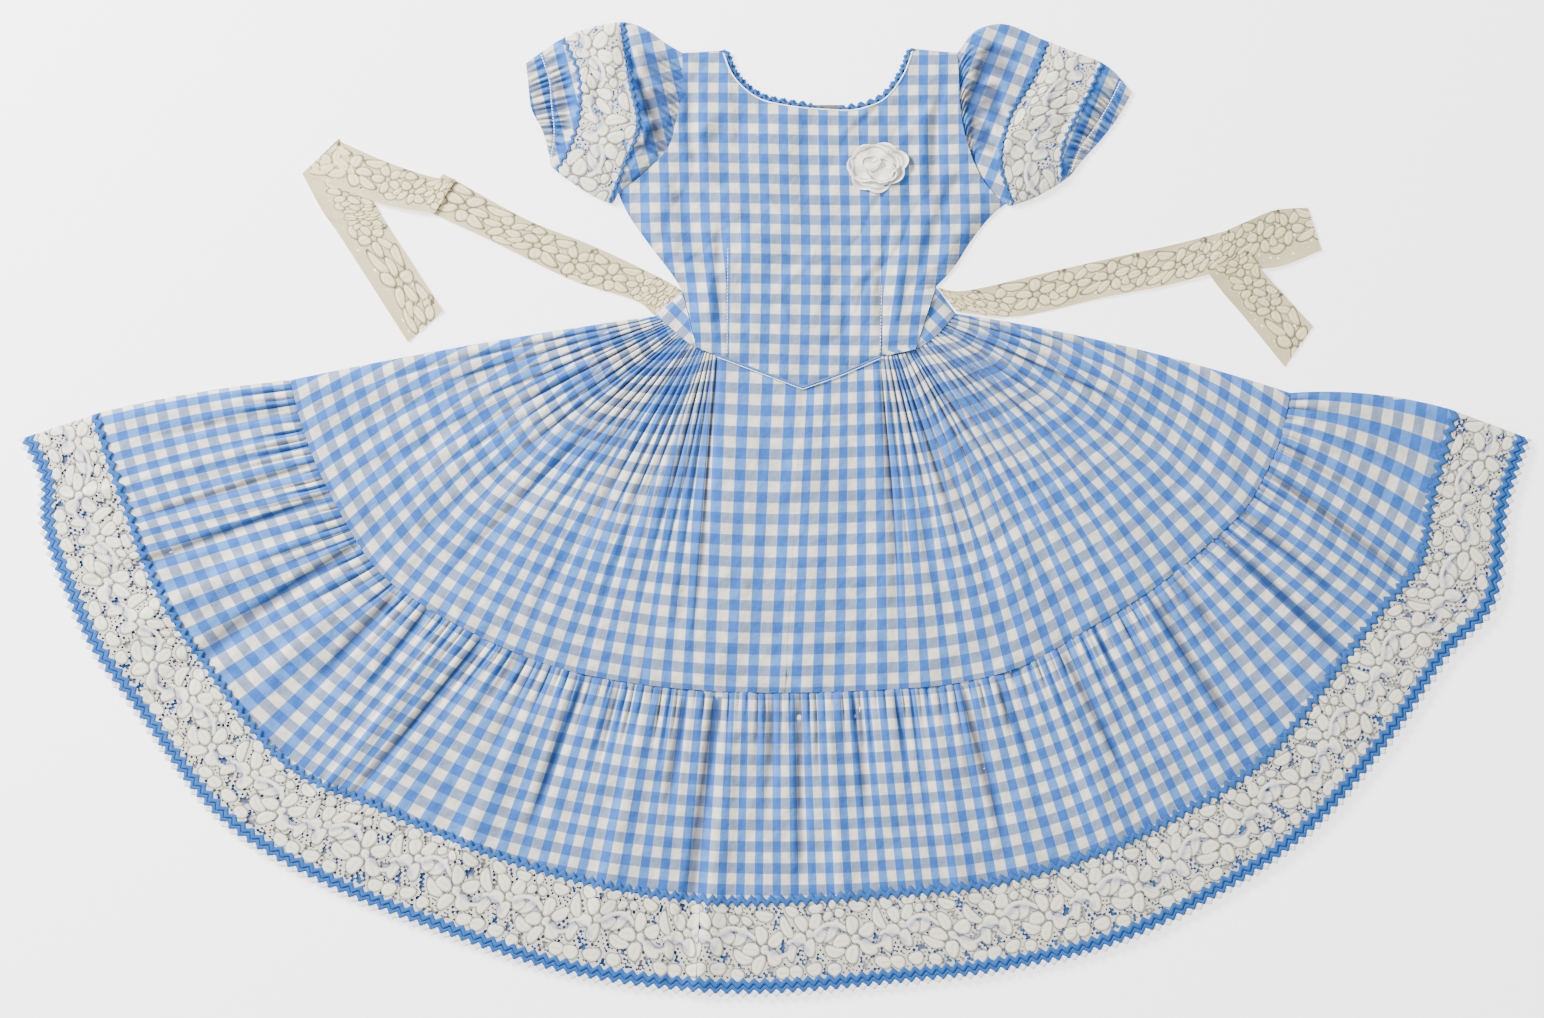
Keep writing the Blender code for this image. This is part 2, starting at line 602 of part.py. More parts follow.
def sleeve(side, looks):
    """Puffed sleeve as one flattened tube, with lace and rickrack over and under it."""
    shares = np.linspace(0, 1, SLEEVE_COLUMNS + 1)
    lines = np.array([armhole_chords(side)] + [along(section, shares) for section in SLEEVES[side]])
    plan = smooth_at(lines, SLEEVE_STATIONS, SLEEVE_ROWS)
    rows = np.array(SLEEVE_ROWS)[:, None]
    cap = np.clip(1 - rows / 0.36, 0, 1) * 1.4
    cuff = np.clip((rows - 0.74) / 0.26, 0, 1) * 1.5
    puff = SLEEVE_PUFF * np.sin(np.pi * shares)[None] ** 0.7 * (0.35 + 0.65 * np.sin(np.pi * rows) ** 0.5)
    ridge = alternate(SLEEVE_COLUMNS + 1, 0.9)[None]
    ridge[:, -1] = 0
    raised = max(LACE, RICKRACK) + SEAM_GAP
    under = np.where((rows > 0) & (rows < 1), raised, 0.0)
    hollow = SEAM_GAP + np.minimum(puff + ridge * (cap + cuff), HOLLOW_LIMIT - SEAM_GAP)
    front_outer = under + CLOTH + hollow + CLOTH
    front_inner = under + CLOTH + hollow

    back_index = np.linspace(SLEEVE_COLUMNS, 0, SLEEVE_BACK_COLUMNS + 1).astype(int)
    back_plan = plan[:, back_index]
    back_outer = np.repeat(under, len(back_index), axis=1)
    inner_plan = plan.copy()
    inner_plan[:, 0] = toward(plan[:, 0], plan[:, 1], CLOTH)
    inner_plan[:, -1] = toward(plan[:, -1], plan[:, -2], CLOTH)
    inner_back = inner_plan[:, back_index]
    outer = np.concatenate([np.dstack([plan, front_outer]), np.dstack([back_plan, back_outer])], axis=1)
    inner = np.concatenate([np.dstack([inner_plan, front_inner]),
                            np.dstack([inner_back, back_outer + CLOTH])], axis=1)
    add_tube("sleeve_" + side, outer, inner, looks["gingham"])

    strips = (
        ("sleeve_rickrack_inner", INNER_RICKRACK_ROWS, RICKRACK, "rickrack"),
        ("sleeve_lace", LACE_ROWS, LACE, "lace"),
        ("sleeve_rickrack_outer", OUTER_RICKRACK_ROWS, RICKRACK, "rickrack"),
    )
    for name, picked, thickness, look in strips:
        picked = list(picked)
        strip = plan[picked].copy()
        strip[0] = toward(plan[picked[0]], plan[picked[1]], SEAM_GAP / 2)
        strip[-1] = toward(plan[picked[-1]], plan[picked[-2]], SEAM_GAP / 2)
        resting = front_outer[picked] + SEAM_GAP
        panel(f"{name}_front_{side}", strip, resting, thickness, looks[look])
        below = strip[:, back_index]
        panel(f"{name}_back_{side}", below, np.zeros(below.shape[:2]), thickness, looks[look])


def ties(looks):
    """Lace ribbon ties, one piece for each stretch that shows."""
    across = np.linspace(0, 1, TIE_ACROSS + 1)
    for name, (edge_a, edge_b, heights) in TIES.items():
        knots = range(len(edge_a))
        places = np.linspace(0, knots[-1], TIE_STEPS * knots[-1] + 1)
        a, b = smooth_at(edge_a, knots, places), smooth_at(edge_b, knots, places)
        plan = np.transpose(rows_between(a, b, across), (1, 0, 2))
        level = np.interp(places, knots, heights)[:, None]
        underside = np.repeat(level, TIE_ACROSS + 1, axis=1)
        panel(name, plan, underside, RIBBON, looks["ribbon"])


def rosette(looks):
    """Scalloped lace flower lying on the bodice."""
    angles = np.linspace(0, 2 * np.pi, ROSETTE_SPOKES, endpoint=False)
    scallop = 1 - 0.07 * (1 - np.abs(np.sin(ROSETTE_PETALS * angles / 2)))
    rings = []
    tops = []
    for part, height in ROSETTE_RINGS:
        reach = part * (scallop if part > 0.5 else 1.0)
        ring = np.column_stack([np.cos(angles) * ROSETTE_RADII[0], np.sin(angles) * ROSETTE_RADII[1]])
        rings.append(np.array(ROSETTE_CENTRE) + ring * np.broadcast_to(reach, angles.shape)[:, None])
        tops.append(height * (1 + 0.12 * np.cos(ROSETTE_PETALS * angles)))
    plan = np.array(rings)
    base = float(bodice_rise(plan).max()) + CLOTH + SEAM_GAP + 0.2
    under = np.full(plan.shape[:2], base)
    upper = base + np.array(tops)
    add_tube("rosette", np.dstack([plan, upper]), np.dstack([plan, under]), looks["rosette"])


def build():
    clear_scene()
    looks = {
        "gingham": material("gingham", (0.24, 0.42, 0.70)),
        "lace": material("lace", (0.84, 0.82, 0.74)),
        "rickrack": material("rickrack", (0.09, 0.27, 0.60)),
        "ribbon": material("ribbon", (0.86, 0.80, 0.62)),
        "rosette": material("rosette", (0.88, 0.87, 0.84)),
        "tape": material("tape", (0.45, 0.44, 0.38)),
    }
    skirt = Skirt()
    skirt_tier(skirt, looks)
    ruffle(skirt, looks)
    centre_back = bodice(looks)
    closure(centre_back, looks)
    neck_trim(centre_back[0, 0], looks)
    for side in SLEEVES:
        sleeve(side, looks)
    ties(looks)
    rosette(looks)


build()
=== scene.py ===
"""Square dance dress laid flat: gingham, lace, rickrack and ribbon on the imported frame.

Lengths are in millimetres until a mesh is made. +Z is up, and the dress lies front side up.
"""

import bpy
import numpy as np
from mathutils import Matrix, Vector, kdtree


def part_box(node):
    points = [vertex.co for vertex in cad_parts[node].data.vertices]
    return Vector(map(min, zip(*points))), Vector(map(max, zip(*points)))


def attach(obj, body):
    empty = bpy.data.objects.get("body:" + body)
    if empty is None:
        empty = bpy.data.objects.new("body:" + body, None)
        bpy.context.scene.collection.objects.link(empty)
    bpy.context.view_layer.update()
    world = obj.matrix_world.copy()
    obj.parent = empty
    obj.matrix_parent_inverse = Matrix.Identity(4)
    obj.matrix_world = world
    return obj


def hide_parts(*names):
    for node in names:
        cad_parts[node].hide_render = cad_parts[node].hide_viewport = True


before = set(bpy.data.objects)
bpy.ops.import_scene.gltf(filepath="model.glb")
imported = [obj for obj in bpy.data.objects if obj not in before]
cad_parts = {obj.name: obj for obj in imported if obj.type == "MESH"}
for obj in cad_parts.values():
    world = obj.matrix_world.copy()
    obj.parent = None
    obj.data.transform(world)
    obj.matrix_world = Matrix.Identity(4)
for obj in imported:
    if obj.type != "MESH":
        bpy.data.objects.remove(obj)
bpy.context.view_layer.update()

MM = 0.001
REPEAT = 25.4
BODICE_REPEAT = 23.4

# Radial sections of the skirt from its left edge to its right edge
SKIRT_SECTIONS = (
    # seam x, y, lace top x, y, hem x, y
    (-567, 151, -796, 111, -886, 81),
    (-556, 107, -778, 57, -863, 32),
    (-541, 63, -760, 8, -863, -10),
    (-508, -5, -733, -69, -836, -95),
    (-489, -38, -703, -127, -804, -165),
    (-467, -69, -664, -183, -754, -235),
    (-417, -109, -579, -290, -664, -355),
    (-324, -159, -466, -347, -532, -442),
    (-249, -187, -333, -402, -383, -503),
    (-164, -204, -216, -436, -251, -546),
    (-70, -213, -87, -456, -93, -569),
    (112, -212, 135, -449, 153, -558),
    (205, -205, 246, -438, 270, -544),
    (287, -185, 363, -407, 393, -516),
    (369, -139, 474, -356, 527, -453),
    (445, -92, 574, -290, 636, -376),
    (504, -44, 656, -188, 732, -264),
    (554, 5, 714, -111, 793, -174),
    (582, 57, 755, -60, 848, -110),
    (596, 96, 770, 22, 864, 6),
    (604, 136, 796, 115, 887, 81),
)
CENTRE_SEAM_X = 12
CENTRE_ZONE_X = (-100, 155)
TIER_BOW = (4.0, 9.0)
RUFFLE_BOW = (4.0, 8.0)
BOW_REACH = 0.07
TRIM_START = -9.0

WAIST_LEFT = ((-140, 226), (-127, 217), (-108, 200), (-85, 185), (-68, 180))
WAIST_CENTRE_LEFT = ((-68, 180), (-20, 162), (33, 142))
WAIST_CENTRE_RIGHT = ((33, 142), (80, 159), (124, 178))
WAIST_RIGHT = ((124, 178), (159, 184), (188, 202), (212, 229))
WAIST_BACK = ((-140, 226), (-55, 200), (35, 192), (125, 201), (212, 229))

ARMHOLE_LEFT = ((-183, 370), (-162, 385), (-141, 404), (-125, 422), (-115, 455), (-108, 490), (-108, 534))
SHOULDER_LEFT = ((-108, 534), (-61, 537))
NECKLINE = ((-61, 537), (-48, 507), (-20, 482), (18, 472), (60, 468), (97, 468), (128, 480), (150, 507),
            (163, 539))
SHOULDER_RIGHT = ((163, 539), (214, 534))
ARMHOLE_RIGHT = ((214, 534), (216, 500), (218, 465), (225, 430), (246, 382), (269, 356))
SIDE_LEFT = ((-183, 370), (-175, 352), (-147, 310), (-121, 276), (-107, 255))
SIDE_RIGHT = ((269, 356), (260, 349), (231, 315), (208, 280), (189, 260))
SIDE_SEAM_LEFT = ((-107, 255), (-91, 189))
SIDE_SEAM_RIGHT = ((189, 260), (165, 187))
BACK_NECK_RISE = 4.0
DART_X = (-54.4, 125.8)

# Sleeve sections beyond the armhole, each from the shoulder edge to the underarm edge
SLEEVE_STATIONS = (0.0, 0.08, 0.18, 0.36, 0.55, 0.74, 1.0)
SLEEVES = {
    "left": (
        ((-128, 546), (-124, 480), (-136, 430), (-161, 394), (-185, 368)),
        ((-146, 559), (-138, 489), (-145, 438), (-168, 395), (-187, 364)),
        ((-176, 570), (-166, 497), (-158, 445), (-175, 400), (-192, 358)),
        ((-218, 563), (-203, 505), (-196, 450), (-208, 409), (-222, 372)),
        ((-250, 550), (-232, 510), (-231, 465), (-239, 432), (-257, 397)),
        ((-291, 522), (-288, 495), (-285, 470), (-271, 441), (-263, 411)),
    ),
    "right": (
        ((233, 558), (226, 490), (232, 435), (248, 391), (271, 357)),
        ((262, 568), (255, 500), (246, 440), (253, 396), (273, 356)),
        ((316, 549), (302, 510), (272, 455), (263, 404), (278, 355)),
        ((349, 536), (335, 498), (308, 455), (300, 415), (310, 367)),
        ((386, 521), (371, 487), (355, 457), (339, 422), (338, 384)),
        ((419, 488), (402, 458), (383, 433), (364, 412), (348, 392)),
    ),
}

TIES = {
    "tie_left_run": (
        ((-107.6, 255.6), (-134, 271), (-212, 308), (-290, 339), (-388, 393)),
        ((-140.6, 226.8), (-165, 245), (-237, 268), (-333, 315), (-418, 354)),
        (0.6, 0.6, 0.6, 1.5, 0.8),
    ),
    "tie_left_loop": (
        ((-373, 386), (-402, 389), (-453, 406), (-510, 431)),
        ((-398, 346), (-437, 352), (-480, 364), (-548, 391)),
        (4.0, 3.4, 3.2, 1.2),
    ),
    "tie_left_tail": (
        ((-510, 434), (-467, 356), (-450, 328), (-388, 232)),
        ((-553, 393), (-530, 350), (-506, 315), (-429, 195)),
        (1.2, 1.6, 0.7, 0.7),
    ),
    "tie_right_run": (
        ((191, 259), (226, 256), (319, 277), (404, 296), (473, 311), (541, 329)),
        ((213.5, 231), (267, 225), (312, 230), (387, 248), (456, 261), (525, 279)),
        (0.6, 0.6, 0.6, 0.7, 1.2, 3.0),
    ),
    "tie_right_end": (
        ((529, 326), (556, 338), (586, 350), (625, 353)),
        ((515, 277), (548, 280), (592, 284), (641, 303)),
        (4.6, 3.8, 1.6, 0.8),
    ),
    "tie_right_tail": (
        ((552, 304), (572, 278), (600, 247), (631, 214)),
        ((508, 275), (524, 254), (553, 221), (598, 166)),
        (7.2, 4.0, 1.0, 0.8),
    ),
}

ROSETTE_CENTRE = (120, 400)
ROSETTE_RADII = (36, 30.5)

# Creases of the ruffle that run on into the lace: share at the seam, share at the hem, height, half width,
# and the parts of the depth between which they show
RUFFLE_CREASES = (
    # seam share, hem share, height, half width, from, to
    (0.022, 0.026, -3.2, 6, 0.0, 0.9),
    (0.045, 0.050, 2.6, 9, 0.1, 1.5),
    (0.068, 0.078, -3.8, 6, 0.0, 1.1),
    (0.095, 0.112, -4.6, 7, 0.0, 1.5),
    (0.118, 0.135, 3.8, 12, 0.1, 1.5),
    (0.139, 0.163, -5.2, 8, 0.0, 1.6),
    (0.165, 0.186, 3.0, 10, 0.2, 1.2),
    (0.187, 0.200, -4.2, 7, 0.0, 0.8),
    (0.214, 0.222, -3.6, 7, 0.0, 0.7),
    (0.238, 0.240, 4.2, 12, 0.1, 1.3),
    (0.262, 0.258, -4.8, 7, 0.0, 1.2),
    (0.292, 0.286, -3.6, 8, 0.0, 0.6),
    (0.318, 0.316, 3.4, 12, 0.2, 1.4),
    (0.346, 0.340, -4.4, 7, 0.0, 1.0),
    (0.372, 0.362, -3.2, 6, 0.0, 0.55),
    (0.398, 0.392, 3.8, 13, 0.1, 1.5),
    (0.424, 0.420, -4.2, 7, 0.0, 0.8),
    (0.449, 0.438, -5.8, 8, 0.0, 1.7),
    (0.462, 0.452, 5.0, 12, 0.1, 1.7),
    (0.491, 0.486, -3.4, 6, 0.0, 0.7),
    (0.512, 0.511, -4.6, 7, 0.0, 1.1),
    (0.535, 0.540, 3.4, 11, 0.1, 1.3),
    (0.556, 0.562, -3.8, 7, 0.0, 0.8),
    (0.588, 0.598, -3.2, 6, 0.0, 0.6),
    (0.610, 0.618, 3.2, 12, 0.2, 1.4),
    (0.640, 0.652, -4.4, 7, 0.0, 1.0),
    (0.668, 0.684, -3.0, 7, 0.0, 0.7),
    (0.700, 0.712, 4.0, 12, 0.1, 1.5),
    (0.722, 0.736, -4.6, 7, 0.0, 0.9),
    (0.752, 0.760, -3.4, 6, 0.0, 0.7),
    (0.778, 0.782, 3.8, 12, 0.1, 1.4),
    (0.801, 0.806, -4.8, 8, 0.0, 1.0),
    (0.829, 0.826, -3.6, 7, 0.0, 0.8),
    (0.853, 0.846, 4.2, 11, 0.1, 1.5),
    (0.872, 0.866, -5.2, 8, 0.0, 1.3),
    (0.897, 0.888, -4.2, 7, 0.0, 1.0),
    (0.918, 0.908, 3.6, 10, 0.1, 1.5),
    (0.936, 0.928, -4.8, 7, 0.0, 1.5),
    (0.958, 0.954, -3.4, 6, 0.0, 0.8),
    (0.978, 0.975, 2.4, 8, 0.1, 1.4),
)

# Soft creases of the bodice front: start, end, height, half width
BODICE_CREASES = (
    # x, y, to x, y, height, half width
    (-98, 500, -92, 400, -2.6, 7),
    (-84, 470, -74, 370, 1.8, 10),
    (-120, 392, -84, 300, -2.2, 8),
    (-150, 372, -110, 290, 2.0, 9),
    (-62, 330, -60, 210, -2.0, 6),
    (-78, 280, -72, 200, 2.0, 8),
    (-40, 470, -34, 380, -1.3, 9),
    (-20, 330, -10, 240, 1.2, 12),
    (36, 450, 40, 330, -1.1, 12),
    (62, 320, 48, 190, 1.3, 14),
    (90, 260, 84, 185, -1.3, 8),
    (134, 330, 126, 200, -2.0, 6),
    (150, 300, 144, 205, 2.0, 8),
    (196, 500, 188, 380, -2.6, 7),
    (178, 470, 172, 360, 1.8, 10),
    (222, 400, 176, 290, -2.2, 8),
    (246, 360, 196, 285, 2.0, 9),
    (160, 440, 164, 350, -1.8, 8),
)

# Lace flowers and leaves in one repeat of the hem lace
HEM_LACE_REPEAT = 112.0
HEM_LACE_FLOWERS = (
    # s, t, petals, reach, half length, half width, turn
    (26, 32, 5, 15.0, 11.5, 8.2, 14),
    (82, 46, 5, 16.0, 12.0, 8.4, 40),
    (56, 12, 3, 8.0, 7.5, 5.5, 30),
)
HEM_LACE_LEAVES = (
    # s, t, half length, half width, turn
    (26, 32, 5.5, 5.5, 0),
    (82, 46, 6, 6, 0),
    (10, 72, 9.5, 8.5, 0),
    (32, 70, 11, 8, -12),
    (54, 73, 9, 8, 10),
    (106, 72, 10, 8, 0),
    (54, 34, 17, 7, -48),
    (57, 55, 15, 7, 22),
    (108, 26, 16, 7, 62),
    (4, 50, 13, 7, 100),
    (36, 7, 11, 6.5, -8),
    (84, 12, 13, 7, 12),
    (6, 9, 10, 7, 20),
)
HEM_LACE_ARCHES = (
    # s, t, radius, half width, from degrees, to degrees
    (50, 50, 25, 3.4, 25, 155),
    (100, 34, 21, 3.2, 200, 330),
    (10, 58, 20, 3.2, 10, 140),
)
TIE_LACE_REPEAT = 74.0
TIE_LACE_FLOWERS = (
    (16, 22, 5, 11.0, 9.0, 6.0, 20),
    (54, 26, 5, 12.0, 9.5, 6.2, 50),
)
TIE_LACE_LEAVES = (
    (34, 10, 13, 6, 20),
    (36, 36, 13, 6, -25),
    (2, 40, 12, 6, 15),
    (70, 8, 12, 6, -15),
    (2, 8, 10, 5, 70),
    (72, 34, 11, 5.5, 60),
)


def smooth_at(points, knots, places):
    """Read the smooth curve that passes each point at its knot."""
    points, knots = np.asarray(points, float), np.asarray(knots, float)
    places = np.clip(np.asarray(places, float), knots[0], knots[-1])
    slopes = np.gradient(points, knots, axis=0)
    start = np.clip(np.searchsorted(knots, places, side="right") - 1, 0, len(knots) - 2)
    span = knots[start + 1] - knots[start]
    shape = (-1,) + (1,) * (points.ndim - 1)
    t, span = ((places - knots[start]) / span).reshape(shape), span.reshape(shape)
    here, after = points[start], points[start + 1]
    leave, arrive = slopes[start] * span, slopes[start + 1] * span
    return (here * (2 * t**3 - 3 * t**2 + 1) + leave * (t**3 - 2 * t**2 + t)
            + after * (3 * t**2 - 2 * t**3) + arrive * (t**3 - t**2))


def line_shares(points):
    """Share of a line's length at each of its points."""
    steps = np.linalg.norm(np.diff(np.asarray(points, float), axis=0), axis=1)
    length = np.concatenate([[0], np.cumsum(steps)])
    return length / length[-1]


def line_length(points):
    """Length of a line."""
    return float(np.linalg.norm(np.diff(np.asarray(points, float), axis=0), axis=1).sum())


def along(points, shares):
    """Read the smooth curve through the points at shares of its length."""
    knots = line_shares(points)
    places = np.linspace(0, 1, 24 * len(points))
    dense = smooth_at(points, knots, places)
    return smooth_at(points, knots, np.interp(shares, line_shares(dense), places))


def chain(pieces, counts):
    """Join curves end to end, each with its own number of steps."""
    rows = [along(piece, np.linspace(0, 1, count + 1))[:-1] for piece, count in zip(pieces, counts)]
    return np.vstack(rows + [np.array([pieces[-1][-1]], float)])


def eased(value):
    """Turn a 0 to 1 ramp into one with soft ends."""
    value = np.clip(value, 0, 1)
    return value * value * (3 - 2 * value)


def uneven(count, seed, low=0.0, high=1.0):
    """Give each of a row of folds its own value, spread between two limits."""
    wave = np.sin(np.arange(count) * 2.399 + seed) + np.sin(np.arange(count) * 5.13 + 2.1 * seed)
    return low + (high - low) * (0.5 + 0.25 * wave)


def crease_height(x, y, table):
    """Sum of soft straight creases, each fading toward its ends."""
    height = np.zeros_like(x)
    for x0, y0, x1, y1, top, half in table:
        length = np.hypot(x1 - x0, y1 - y0)
        ax, ay = (x1 - x0) / length, (y1 - y0) / length
        part = ((x - x0) * ax + (y - y0) * ay) / length
        off = (x - x0) * ay - (y - y0) * ax
        bend = 0.04 * length * np.sin(np.pi * np.clip(part, 0, 1))
        fade = eased(part / 0.3 + 0.3) * eased((1 - part) / 0.3 + 0.3)
        height += top * fade * np.exp(-(((off - bend) / half) ** 2))
    return height


def crumple(x, y, seed=0.0):
    """Small uneven waves and soft ridges of worn cloth, in millimetres."""
    p = x + 9 * np.sin(y / 31 + seed) + 5 * np.sin(y / 13 + 2 * seed)
    q = y + 9 * np.sin(x / 37 + seed) + 4 * np.sin(x / 15 + seed)
    waves = np.sin(p / 13) * np.sin(q / 17)
    ridges = (1 - np.abs(np.sin((p + 0.5 * q) / 26 + 1.2 * np.sin(q / 29)))) ** 3
    furrows = (1 - np.abs(np.sin((q - 0.6 * p) / 33 + 1.5 * np.sin(p / 41 + seed)))) ** 3
    grain = np.sin(p / 4.6 + np.sin(q / 7)) * np.sin(q / 6.5)
    return 0.7 * waves + 1.5 * ridges - 1.2 * furrows + 0.22 * grain


def linear(code):
    """Turn a hex colour into linear light."""
    values = np.array([int(code[k:k + 2], 16) / 255 for k in (0, 2, 4)])
    return (*np.where(values <= 0.04045, values / 12.92, ((values + 0.055) / 1.055) ** 2.4), 1.0)


class Nodes:
    """A small material builder."""

    def __init__(self, name, roughness, sheen=0.0):
        self.made = bpy.data.materials.new(name)
        self.made.use_nodes = True
        self.tree = self.made.node_tree
        self.shader = self.tree.nodes["Principled BSDF"]
        self.shader.inputs["Roughness"].default_value = roughness
        self.shader.inputs["Specular IOR Level"].default_value = 0.25
        self.shader.inputs["Sheen Weight"].default_value = sheen

    def add(self, kind, values=(), **settings):
        node = self.tree.nodes.new(kind)
        for key, value in settings.items():
            setattr(node, key, value)
        for key, value in values:
            self.put(node.inputs[key], value)
        return node

    def put(self, socket, value):
        if isinstance(value, bpy.types.NodeSocket):
            self.tree.links.new(value, socket)
        else:
            socket.default_value = value

    def maths(self, operation, *values):
        return self.add("ShaderNodeMath", list(enumerate(values)), operation=operation).outputs[0]

    def ramp(self, value, low, high, to_low=0.0, to_high=1.0):
        node = self.add("ShaderNodeMapRange", ((0, value), (1, low), (2, high), (3, to_low), (4, to_high)),
                        interpolation_type="SMOOTHSTEP")
        return node.outputs[0]

    def mix(self, amount, first, second, blend="MIX"):
        node = self.add("ShaderNodeMix", data_type="RGBA", blend_type=blend)
        self.put(node.inputs["Factor"], amount)
        self.put(node.inputs[6], first)
        self.put(node.inputs[7], second)
        return node.outputs[2]

    def attribute(self, name):
        return self.add("ShaderNodeAttribute", attribute_name=name).outputs["Fac"]

    def noise(self, vector, scale, detail=2.0):
        node = self.add("ShaderNodeTexNoise", (("Vector", vector), ("Scale", scale), ("Detail", detail)))
        return node.outputs[0]

    def finish(self, colour, height=None, strength=0.2, distance=0.0006):
        self.put(self.shader.inputs["Base Color"], colour)
        if height is not None:
            bump = self.add("ShaderNodeBump", (("Strength", strength), ("Distance", distance), ("Height", height)))
            self.put(self.shader.inputs["Normal"], bump.outputs[0])
        return self.made


def gingham(name):
    """Blue and cream woven checks, one repeat to a unit of the cloth's own coordinates, with painted shade in its
    hollows.
    """
    n = Nodes(name, 0.86, 0.12)
    where = n.add("ShaderNodeUVMap", uv_map="UVMap").outputs[0]
    parted = n.add("ShaderNodeSeparateXYZ", ((0, where),))
    place = n.add("ShaderNodeTexCoord").outputs["Object"]
    bands = []
    edges = []
    for axis in (0, 1):
        wave = n.maths("PINGPONG", parted.outputs[axis], 0.5)
        bands.append(n.ramp(wave, 0.232, 0.268))
        off = n.maths("ABSOLUTE", n.maths("SUBTRACT", wave, 0.25))
        edges.append(n.ramp(off, 0.0, 0.035, 1.0, 0.0))
    white_row = n.mix(bands[0], linear(CREAM), linear(PALE_BLUE))
    blue_row = n.mix(bands[0], linear(GREY_BLUE), linear(FULL_BLUE))
    checks = n.mix(bands[1], white_row, blue_row)
    lined = n.mix(n.maths("MULTIPLY", edges[0], 0.22), checks, linear(CREAM))
    mottle = n.noise(place, 60.0, 3.0)
    shade = n.ramp(mottle, 0.3, 0.7, 0.86, 1.06)
    patch = n.ramp(n.noise(place, 11.0), 0.3, 0.7, 0.93, 1.04)
    toned = n.add("ShaderNodeVectorMath", ((0, lined), ("Scale", n.maths("MULTIPLY", shade, patch))),
                  operation="SCALE")
    # Painted shade: the hollow value mixes the checks toward navy in pleat valleys, gathers and creases, and under the
    # hem lace.
    deep = n.mix(n.ramp(n.attribute("hollow"), 0.05, 1.0, 0.0, 0.72), toned.outputs[0], linear(FOLD_SHADE_NAVY))
    folds = n.noise(place, 42.0, 3.0)
    return n.finish(deep, folds, 0.55, 0.006)


def lace_look(name, thread, outline, shade):
    """Cotton lace: solid petals with fine sunk outlines in painted shade, a greyer sheer net between them, and
    grey-lilac shaded crescents.
    """
    n = Nodes(name, 0.9, 0.08)
    place = n.add("ShaderNodeTexCoord").outputs["Object"]
    fine = n.noise(place, 420.0, 2.0)
    base = n.mix(n.ramp(fine, 0.35, 0.65, 0.0, 0.16), linear(thread), linear(shade))
    lilac = n.mix(n.attribute("crescent"), base, linear(shade))
    lined = n.mix(n.attribute("outline"), lilac, linear(outline))
    return n.finish(lined, fine, 0.3, 0.0006)


def plain_look(name, colour, dark, rough=0.82):
    """One dyed yarn, a little uneven, with painted shade on its sunk parts."""
    n = Nodes(name, rough, 0.1)
    place = n.add("ShaderNodeTexCoord").outputs["Object"]
    fine = n.noise(place, 500.0, 2.0)
    base = n.mix(n.ramp(fine, 0.35, 0.65, 0.0, 0.25), linear(colour), linear(dark))
    # Painted shade: the hollow value mixes the yarn toward its dark colour.
    deep = n.mix(n.attribute("hollow"), base, linear(dark))
    return n.finish(deep, fine, 0.35, 0.0006)


CREAM = "DDD6C6"
PALE_BLUE = "5081C2"
GREY_BLUE = "7C8CA4"
FULL_BLUE = "275FB0"
# Navy of the painted shade in the cloth's folds and under the lace
FOLD_SHADE_NAVY = "10254F"

LOOKS = {
    "gingham": gingham("woven_gingham"),
    # The third colour of each lace is the painted shade along its motif outlines.
    "lace": lace_look("cotton_lace", "EFE7D0", "3C4250", "9CA2B8"),
    "ribbon": lace_look("ecru_lace", "EBDCAE", "4F4838", "B3A57E"),
    "rosette": lace_look("white_lace", "FAF7EC", "77746A", "C9C6BC"),
    # The second colour of each yarn serves both its uneven spots and its painted shade.
    "rickrack": plain_look("blue_rickrack", "245FA8", "123A70"),
    "braid": plain_look("cream_braid", "F6F3EA", "C9CCD2"),
    "thread": plain_look("white_thread", "F7F6F0", "D6DCE6"),
    "piping": plain_look("blue_piping", "3E73B8", "24508F"),
    "tape": plain_look("grey_tape", "6B6859", "403D34"),
    "hook": plain_look("hook", "E4E0D4", "A8A498", 0.4),
}


def make_mesh(name, points, faces, uv, look, **attributes):
    """One mesh from points in millimetres, with its cloth coordinates and shading values."""
    points, faces = np.asarray(points, float).reshape(-1, 3), np.asarray(faces, np.int32)
    size = faces.shape[1]
    mesh = bpy.data.meshes.new(name)
    mesh.vertices.add(len(points))
    mesh.vertices.foreach_set("co", (points * MM).astype(np.float32).ravel())
    mesh.loops.add(faces.size)
    mesh.loops.foreach_set("vertex_index", faces.ravel())
    mesh.polygons.add(len(faces))
    mesh.polygons.foreach_set("loop_start", np.arange(0, faces.size, size, dtype=np.int32))
    mesh.polygons.foreach_set("use_smooth", np.ones(len(faces), bool))
    layer = mesh.uv_layers.new(name="UVMap")
    layer.data.foreach_set("uv", uv.reshape(-1, 2)[faces.ravel()].astype(np.float32).ravel())
    values = {"hollow": np.zeros(len(points)), **attributes}
    for key, value in values.items():
        field = mesh.attributes.new(key, "FLOAT", "POINT")
        field.data.foreach_set("value", np.asarray(value, np.float32).ravel())
    mesh.materials.append(LOOKS[look])
    mesh.update(calc_edges=True)
    mesh.validate()
    item = bpy.data.objects.new("cloth_" + name, mesh)
    bpy.context.collection.objects.link(item)
    return item


def grid_quads(rows, columns, closed=False, flip=False):
    """Faces of a grid of points."""
    index = np.arange(rows * columns).reshape(rows, columns)
    if closed:
        index = np.hstack([index, index[:, :1]])
    corners = [index[:-1, :-1], index[1:, :-1], index[1:, 1:], index[:-1, 1:]]
    if flip:
        corners.reverse()
    return np.stack(corners, -1).reshape(-1, 4)


